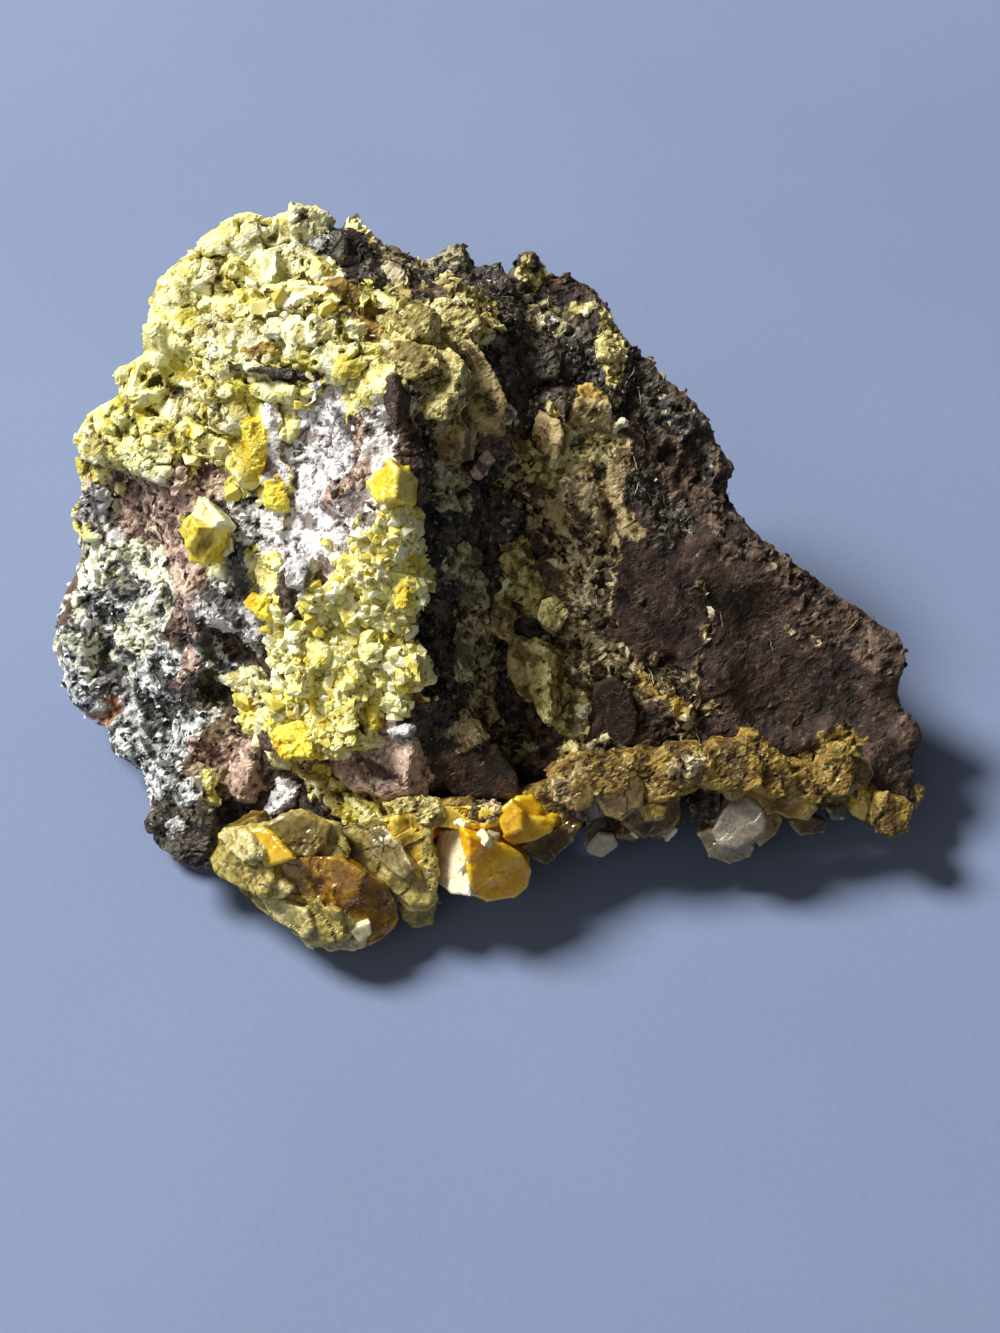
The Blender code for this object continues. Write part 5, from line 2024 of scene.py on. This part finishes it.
@dataclass(frozen=True)
class Strewing:
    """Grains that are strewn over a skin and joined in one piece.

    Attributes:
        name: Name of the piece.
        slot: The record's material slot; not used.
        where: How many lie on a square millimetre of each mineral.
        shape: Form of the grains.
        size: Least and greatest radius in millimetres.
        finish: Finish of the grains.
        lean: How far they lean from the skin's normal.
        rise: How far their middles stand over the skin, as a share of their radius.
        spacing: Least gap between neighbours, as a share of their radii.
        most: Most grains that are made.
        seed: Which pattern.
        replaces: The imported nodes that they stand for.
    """

    name: str
    slot: str
    where: dict[Mineral, float]
    shape: GrainShape
    size: tuple[float, float]
    finish: GrainFinish
    lean: float = 0.5
    rise: float = 0.15
    spacing: float = 0.0
    most: int = 12000
    seed: int = 1
    replaces: tuple[str, ...] = ()

    def build(self, skin: Skin, shares: np.ndarray) -> bpy.types.Object:
        """Strews the grains.

        Args:
            skin: What they lie on, still in millimetres.
            shares: How much of each mineral lies at each of its points.

        Returns:
            The piece.
        """
        dice = np.random.default_rng(self.seed)
        spots, normals = self.scatter(skin, shares, dice)
        forms = grain_forms(self.shape, FORMS, self.seed)
        verts, faces, tones = [], [], []
        first = 0
        for spot, normal in zip(spots, normals):
            form, triangles = forms[dice.integers(len(forms))]
            radius = dice.uniform(*self.size)
            way = normal + dice.normal(0, self.lean, 3)
            turn = Vector(way).to_track_quat("Z", "X").to_matrix() @ Matrix.Rotation(dice.uniform(0, 6.3), 3, "Z")
            verts.append(form @ np.array(turn).T * radius + spot + normal * radius * self.rise)
            faces.append(triangles + first)
            tones.append(np.full(len(form), dice.random()))
            first += len(form)
        return self.piece(np.concatenate(verts), np.concatenate(faces), np.concatenate(tones))

    def scatter(self, skin: Skin, shares: np.ndarray, dice: np.random.Generator) -> tuple[np.ndarray, np.ndarray]:
        """Chooses where the grains lie.

        Args:
            skin: What they lie on.
            shares: How much of each mineral lies at each point.
            dice: Source of chance.

        Returns:
            Places and normals.
        """
        density = np.zeros(len(skin.points))
        for mineral, amount in self.where.items():
            density += shares[:, MINERALS.index(mineral)] ** 1.5 * amount
        lengths = np.linalg.norm(skin.points[skin.edges[:, 0]] - skin.points[skin.edges[:, 1]], axis=1)
        area = np.mean(lengths) ** 2
        chosen = np.nonzero(dice.random(len(density)) < density * area)[0]
        dice.shuffle(chosen)
        if self.spacing > 0:
            chosen = self.thinned(skin.points, chosen)
        chosen = chosen[: self.most]
        return skin.points[chosen], skin.broad_normals(4)[chosen]

    def thinned(self, points: np.ndarray, chosen: np.ndarray) -> np.ndarray:
        """Drops grains that would stand too close to another.

        Args:
            points: Every point of the skin.
            chosen: Which are wanted.

        Returns:
            Those that are kept.
        """
        gap = self.spacing * (self.size[0] + self.size[1])
        grid: dict[tuple[int, int, int], list[np.ndarray]] = {}
        kept = []
        for index in chosen:
            spot = points[index]
            cell = tuple(int(c) for c in np.floor(spot / gap))
            near = itertools.product(*[(c - 1, c, c + 1) for c in cell])
            others = [other for key in near for other in grid.get(key, ())]
            if all(np.sum((spot - other) ** 2) > gap * gap for other in others):
                grid.setdefault(cell, []).append(spot)
                kept.append(index)
        return np.array(kept, np.int64)

    def piece(self, verts: np.ndarray, faces: np.ndarray, tones: np.ndarray) -> bpy.types.Object:
        """Makes one piece of all grains.

        Args:
            verts: Their vertices in millimetres.
            faces: Their triangles.
            tones: The tone of each vertex.

        Returns:
            The piece.
        """
        mesh = bpy.data.meshes.new(self.name)
        mesh.vertices.add(len(verts))
        mesh.vertices.foreach_set("co", (verts * MM).ravel())
        mesh.loops.add(faces.size)
        mesh.loops.foreach_set("vertex_index", faces.ravel())
        mesh.polygons.add(len(faces))
        mesh.polygons.foreach_set("loop_start", np.arange(0, faces.size, 3))
        mesh.update(calc_edges=True)
        mesh.shade_flat()
        attach(mesh, "tone", tones)
        mesh.materials.append(self.finish.build())
        obj = link(self.name, mesh)
        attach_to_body(obj, BODY)
        if self.replaces:
            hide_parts(*self.replaces)
        log.info("%s: %d triangles", self.name, len(faces))
        return obj


WHITE_GRAINS = GrainFinish("quartz_grains", (
    (0.0, (0.010, 0.014, 0.012)), (0.22, (0.05, 0.06, 0.055)), (0.34, (0.32, 0.34, 0.34)), (0.6, (0.72, 0.73, 0.70)),
    (1.0, (0.90, 0.90, 0.88)),
), 0.35, 0.0)
FROST_GRAINS = GrainFinish("frost_grains", (
    (0.0, (0.10, 0.09, 0.10)), (0.10, (0.30, 0.28, 0.29)), (0.22, (0.80, 0.80, 0.82)), (1.0, (0.92, 0.92, 0.95)),
), 0.4, 0.1)
YELLOW_GRAINS = GrainFinish("yellow_grains", (
    (0.0, (0.68, 0.54, 0.05)), (0.25, (0.89, 0.81, 0.24)), (0.6, (0.95, 0.91, 0.45)), (1.0, (0.97, 0.95, 0.70)),
), 0.4, 0.2)
CRUST_GRAINS = GrainFinish("crust_chunks", (
    (0.0, (0.52, 0.38, 0.03)), (0.15, (0.82, 0.68, 0.13)), (0.45, (0.90, 0.82, 0.27)), (1.0, (0.95, 0.93, 0.58)),
), 0.55, 0.1)
CANARY_GRAINS = GrainFinish("canary_chunks", (
    (0.0, (0.50, 0.30, 0.006)), (0.35, (0.84, 0.60, 0.02)), (0.7, (0.92, 0.78, 0.06)), (1.0, (0.95, 0.90, 0.30)),
), 0.4, 0.15)
THREADS = GrainFinish("pale_threads", (
    (0.0, (0.10, 0.065, 0.04)), (0.4, (0.28, 0.20, 0.11)), (0.75, (0.48, 0.40, 0.22)), (1.0, (0.75, 0.68, 0.45)),
), 0.5)
OLIVE_GRAINS = GrainFinish("olive_chunks", (
    (0.0, (0.10, 0.065, 0.01)), (0.3, (0.40, 0.32, 0.07)), (0.7, (0.62, 0.54, 0.18)), (1.0, (0.84, 0.80, 0.48)),
), 0.5)
TAN_GRAINS = GrainFinish("tan_grains", (
    (0.0, (0.02, 0.012, 0.006)), (0.25, (0.14, 0.095, 0.04)), (0.7, (0.42, 0.33, 0.16)), (1.0, (0.74, 0.66, 0.46)),
), 0.5)
DARK_GRAINS = GrainFinish("dark_grains", (
    (0.0, (0.004, 0.003, 0.003)), (0.55, (0.028, 0.020, 0.013)), (0.85, (0.07, 0.055, 0.038)),
    (1.0, (0.20, 0.17, 0.12)),
), 0.35)
CREAM_GRAINS = GrainFinish("cream_grains", (
    (0.0, (0.30, 0.26, 0.07)), (0.25, (0.74, 0.71, 0.34)), (0.7, (0.88, 0.87, 0.58)), (1.0, (0.95, 0.95, 0.80)),
), 0.5)


def strewn(shape: GrainShape, rows: tuple[tuple, ...]) -> tuple[Strewing, ...]:
    """Strewings of one shape of grain, from rows of their other fields."""
    return tuple(Strewing(name, slot, where, shape, *rest) for name, slot, where, *rest in rows)


ROCK_GRAINS: tuple[Strewing, ...] = (
    *strewn(GrainShape.BLADE, (
        ("quartz_grains", "matrix", {Mineral.SALT: 1.2, Mineral.CHALK: 0.3, Mineral.SLATE: 0.2}, (0.08, 0.28),
         WHITE_GRAINS, 0.8, 0.0, 0.0, 12000, 3),
        ("frost_grains", "matrix", {Mineral.FROST: 0.7}, (0.10, 0.30), FROST_GRAINS, 0.8, 0.0, 0.0, 9000, 4),
    )),
    *strewn(GrainShape.THREAD, (
        ("pale_threads", "matrix", {Mineral.TAN: 0.8, Mineral.BRONZE: 0.4, Mineral.SOOT: 0.08, Mineral.MAROON: 0.02,
         Mineral.GOSSAN: 0.03, Mineral.LICHEN: 0.4}, (0.35, 0.95), THREADS, 0.15, 0.0, 0.0, 1000, 16),
    )),
    *strewn(GrainShape.BLADE, (
        ("tan_grains", "matrix", {Mineral.TAN: 2.0, Mineral.OLIVE: 0.5, Mineral.MAUVE: 0.3, Mineral.LICHEN: 1.0},
         (0.12, 0.50), TAN_GRAINS, 0.8, 0.05, 0.0, 12000, 5),
    )),
    *strewn(GrainShape.CHUNK, (
        ("olive_grains", "matrix", {Mineral.OLIVE: 1.8, Mineral.OCHRE: 0.4}, (0.2, 0.65), OLIVE_GRAINS, 0.6, -0.1,
         0.3, 6000, 9),
        ("pale_chunks", "matrix", {Mineral.YELLOW: 0.25, Mineral.CREAM: 0.15}, (0.25, 0.65), CRUST_GRAINS, 0.6, -0.2,
         0.4, 6000, 10),
        ("dark_grains", "matrix", {Mineral.SOOT: 1.4, Mineral.GOSSAN: 0.25}, (0.12, 0.38), DARK_GRAINS, 0.7, 0.0, 0.0,
         9000, 6),
        ("druse_crystals", "arris_druse", {Mineral.DRUSE: 9.0}, (0.42, 0.92), YELLOW_GRAINS, 0.6, 0.05, 0.42, 6000, 7,
         ("arris_druse",)),
        ("druse_grains", "arris_druse", {Mineral.DRUSE: 5.0, Mineral.CANARY: 2.0}, (0.22, 0.50), YELLOW_GRAINS, 0.8,
         0.3, 0.4, 9000, 8),
    )),
)
CRUST_STREWN: tuple[Strewing, ...] = strewn(GrainShape.CHUNK, (
    ("crust_chunks", "yellow_crust", {Mineral.YELLOW: 0.10}, (0.4, 1.1), CRUST_GRAINS, 0.5, -0.40, 0.5, 4000, 11),
    ("cream_chunks", "yellow_crust", {Mineral.CREAM: 0.14}, (0.4, 1.0), CREAM_GRAINS, 0.5, -0.35, 0.5, 3000, 12),
    ("canary_chunks", "yellow_crust", {Mineral.CANARY: 0.5, Mineral.OCHRE: 0.2}, (0.3, 0.8), CANARY_GRAINS, 0.5,
     -0.3, 0.4, 3000, 13),
    ("crust_chips", "yellow_crust", {Mineral.YELLOW: 0.18, Mineral.CREAM: 0.2}, (0.14, 0.34), CRUST_GRAINS, 0.7,
     -0.1, 0.5, 6000, 14),
))
OLIVE_STREWN: tuple[Strewing, ...] = strewn(GrainShape.CHUNK, (
    ("olive_chunks", "olive_crust", {Mineral.OLIVE: 2.0, Mineral.CREAM: 1.0}, (0.25, 0.7), OLIVE_GRAINS, 0.5, -0.2,
     0.42, 3000, 15),
))


@dataclass
class Crust:
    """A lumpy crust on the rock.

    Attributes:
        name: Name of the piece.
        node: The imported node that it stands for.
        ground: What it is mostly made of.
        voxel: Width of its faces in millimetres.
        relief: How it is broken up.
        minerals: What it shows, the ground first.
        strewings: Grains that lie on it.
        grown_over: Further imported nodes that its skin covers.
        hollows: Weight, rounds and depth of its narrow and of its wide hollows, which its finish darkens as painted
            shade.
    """

    name: str
    node: str
    ground: Mineral
    voxel: float
    relief: Relief
    minerals: tuple[Mineral, ...]
    strewings: tuple[Strewing, ...] = ()
    grown_over: tuple[str, ...] = ()
    hollows: tuple[tuple[float, int, float], ...] = ((0.35, 3, 0.14), (0.6, 16, 0.50))

    def build(self, atlas: Atlas) -> bpy.types.Object:
        """Grows and dresses the crust.

        Args:
            atlas: What paints it.

        Returns:
            The piece.
        """
        skin = Skin.over(self.name, (self.node, *self.grown_over), self.voxel)
        normals = skin.broad_normals()
        shares = atlas.shares(skin.points, normals, self.ground)
        self.relief.coarse(skin, shares * self.free(skin))
        skin.push(-atlas.sunk(skin.points, normals))
        skin.remesh(self.voxel)
        shares = atlas.shares(skin.points, skin.broad_normals(), self.ground)
        tone = self.relief.fine(skin, shares * self.free(skin))
        self.settle(skin)
        finish = RockFinish(self.name, self.minerals)
        finish.store(skin, shares, tone, skin.creases(*self.hollows))
        for strewing in self.strewings:
            strewing.build(skin, shares)
        return skin.hand_over(finish.build(), (self.node,), self.node)

    def free(self, skin: Skin) -> np.ndarray:
        """How much of the relief each point of the skin takes, as a column: all of it."""
        return np.ones((len(skin.points), 1))

    def settle(self, skin: Skin) -> None:
        """Leaves the skin as it is."""


@dataclass
class HostRock(Crust):
    """The broken lump of gossan that carries everything else and rests on a flat face."""

    name: str = "rock"
    node: str = "matrix"
    ground: Mineral = Mineral.GOSSAN
    voxel: float = 0.31
    relief: Relief = Relief()
    minerals: tuple[Mineral, ...] = MINERALS
    strewings: tuple[Strewing, ...] = ROCK_GRAINS
    grown_over: tuple[str, ...] = ("arris_druse",)
    hollows: tuple[tuple[float, int, float], ...] = ((0.6, 3, 0.10), (0.6, 16, 0.45))

    def free(self, skin: Skin) -> np.ndarray:
        """How much of the relief each point takes, as a column: none on the resting face."""
        return smooth_step(skin.points[:, 2], 0.05, 0.9)[:, None]

    def settle(self, skin: Skin) -> None:
        """Keeps the skin above the resting face."""
        skin.points[:, 2] = np.maximum(skin.points[:, 2], 0.0)
        skin.write()


# --- stage


@dataclass(frozen=True)
class Lamp:
    """A round area light that shines at the specimen.

    Attributes:
        name: Its name.
        place: Where it stands, in metres.
        size: Its width in metres.
        power: Its power in watts.
        colour: Its colour.
    """

    name: str
    place: Colour
    size: float
    power: float
    colour: Colour

    def make(self) -> None:
        """Adds the light."""
        data = bpy.data.lights.new(self.name, "AREA")
        data.shape = "DISK"
        data.size = self.size
        data.energy = self.power
        data.color = self.colour
        light = link(self.name, data)
        light.location = self.place
        light.rotation_euler = (Vector(LIT_PLACE) - Vector(self.place)).to_track_quat("-Z", "Y").to_euler()


LIT_PLACE = (0.0, 0.0, 0.012)
WARM = (1.0, 0.95, 0.90)
LAMPS = (
    Lamp("key", (-0.63, 0.31, 0.75), 0.34, 18.0, (1.0, 0.97, 0.92)),
    Lamp("fill", (-0.30, -0.50, 0.45), 0.6, 0.55, WARM),
)


@dataclass(frozen=True)
class Stage:
    """The floor, the lights and the sky.

    Attributes:
        floor: Colour of the floor.
        reach: Half the floor's width, in metres.
        sky: Strength of the even light from all round.
    """

    floor: Colour = (0.195, 0.255, 0.415)
    reach: float = 1.5
    sky: float = 0.10

    def build(self) -> None:
        """Makes the floor, the lights and the sky."""
        self.make_floor()
        for lamp in LAMPS:
            lamp.make()
        world = bpy.data.worlds.new("soft_sky")
        world.use_nodes = True
        world.node_tree.nodes["Background"].inputs["Color"].default_value = (*WARM, 1.0)
        world.node_tree.nodes["Background"].inputs["Strength"].default_value = self.sky
        bpy.context.scene.world = world
        bpy.context.scene.view_settings.view_transform = "Standard"

    def make_floor(self) -> None:
        """Makes the plain pale floor."""
        bm = bmesh.new()
        bmesh.ops.create_grid(bm, x_segments=1, y_segments=1, size=self.reach)
        mesh = bpy.data.meshes.new("floor")
        bm.to_mesh(mesh)
        bm.free()
        floor = link("floor", mesh)
        graph = Graph("floor")
        cloud = graph.noise(38.0, 5.0)
        tooth = graph.noise(0.5, 2.0)
        level = (cloud - 0.5) * 0.5 + (tooth - 0.5) * 0.25 + 0.5
        dim = tuple(part * 0.86 for part in self.floor)
        lit = tuple(part * 1.12 for part in self.floor)
        values = {
            "Base Color": graph.ramp(level, ((0.2, dim), (0.8, lit))),
            "Roughness": 0.8,
            "Normal": graph.bump(tooth, 0.05, 0.3),
        }
        mesh.materials.append(graph.surface(graph.principled(values)))


def main() -> None:
    """Builds the specimen: the camera and stage, the rock, its crusts and its crystals."""
    logging.basicConfig(level=logging.INFO, format="%(message)s")
    view = Viewpoint()
    view.make()
    Stage().build()
    atlas = Atlas(view)
    HostRock().build(atlas)
    Crust("yellow_crust_skin", "yellow_crust", Mineral.YELLOW, 0.24, Relief(3.8, 2.2, 0.7, 1.0, 0.60),
          (Mineral.YELLOW, Mineral.CANARY, Mineral.CREAM, Mineral.OLIVE, Mineral.OCHRE, Mineral.SOOT, Mineral.MAUVE,
           Mineral.SLATE, Mineral.FROST), CRUST_STREWN).build(atlas)
    Crust("olive_crust_skin", "olive_crust", Mineral.OLIVE, 0.22, Relief(2.0, 1.0, 0.5, 1.0, 0.3),
          (Mineral.OLIVE, Mineral.CREAM, Mineral.OCHRE, Mineral.SOOT, Mineral.YELLOW), OLIVE_STREWN).build(atlas)
    for field_of_blocks in (
        BlockField("valley_blocks", "valley_crystals", VALLEY_BLOCKS, ("valley_crystals",), 0.25),
        BlockField("cap_blocks", "yellow_crust", CAP_BLOCKS, (), 0.27, Relief(2.8, 1.6, 0.6, 0.55, 0.35)),
        BlockField("far_blocks", "olive_crust", FAR_BLOCKS, (), 0.25),
        BlockField("druse_blocks", "arris_druse", DRUSE_BLOCKS, (), 0.25),
        BlockField("edge_blocks", "matrix", EDGE_BLOCKS, (), 0.25, Relief(2.2, 0.9, 0.5, 0.8, 0.15)),
    ):
        field_of_blocks.build(atlas)
    for group in (
        CrystalGroup("corner_cluster", Gem.PLATE, CORNER_CHIPS, 0.9),
        CrystalGroup("front_crystals", Gem.GOLD, FRONT_CHIPS, 0.6),
        CrystalGroup("edge_crystals", Gem.UMBER, EDGE_CHIPS, 0.5, 0.18),
        CrystalGroup("white_hex_crystal", Gem.STONE, HEX_CHIPS),
        CrystalGroup("end_crystal", Gem.PLATE, END_CHIPS, 1.6),
        CrystalGroup("small_white_crystal", Gem.MILK, SMALL_WHITE_CHIPS),
        CrystalGroup("shoulder_crystal", Gem.LEMON, SHOULDER_CHIPS, 2.2),
        CrystalGroup("ridge_crystal", Gem.LEMON, RIDGE_CHIPS, 0.8),
    ):
        group.build(atlas)
    total = sum(
        len(face.vertices) - 2
        for obj in bpy.context.scene.objects
        if obj.type == "MESH" and not obj.hide_render
        for face in obj.data.polygons
    )
    log.info("all pieces: %d triangles", total)


if __name__ == "__main__":
    main()
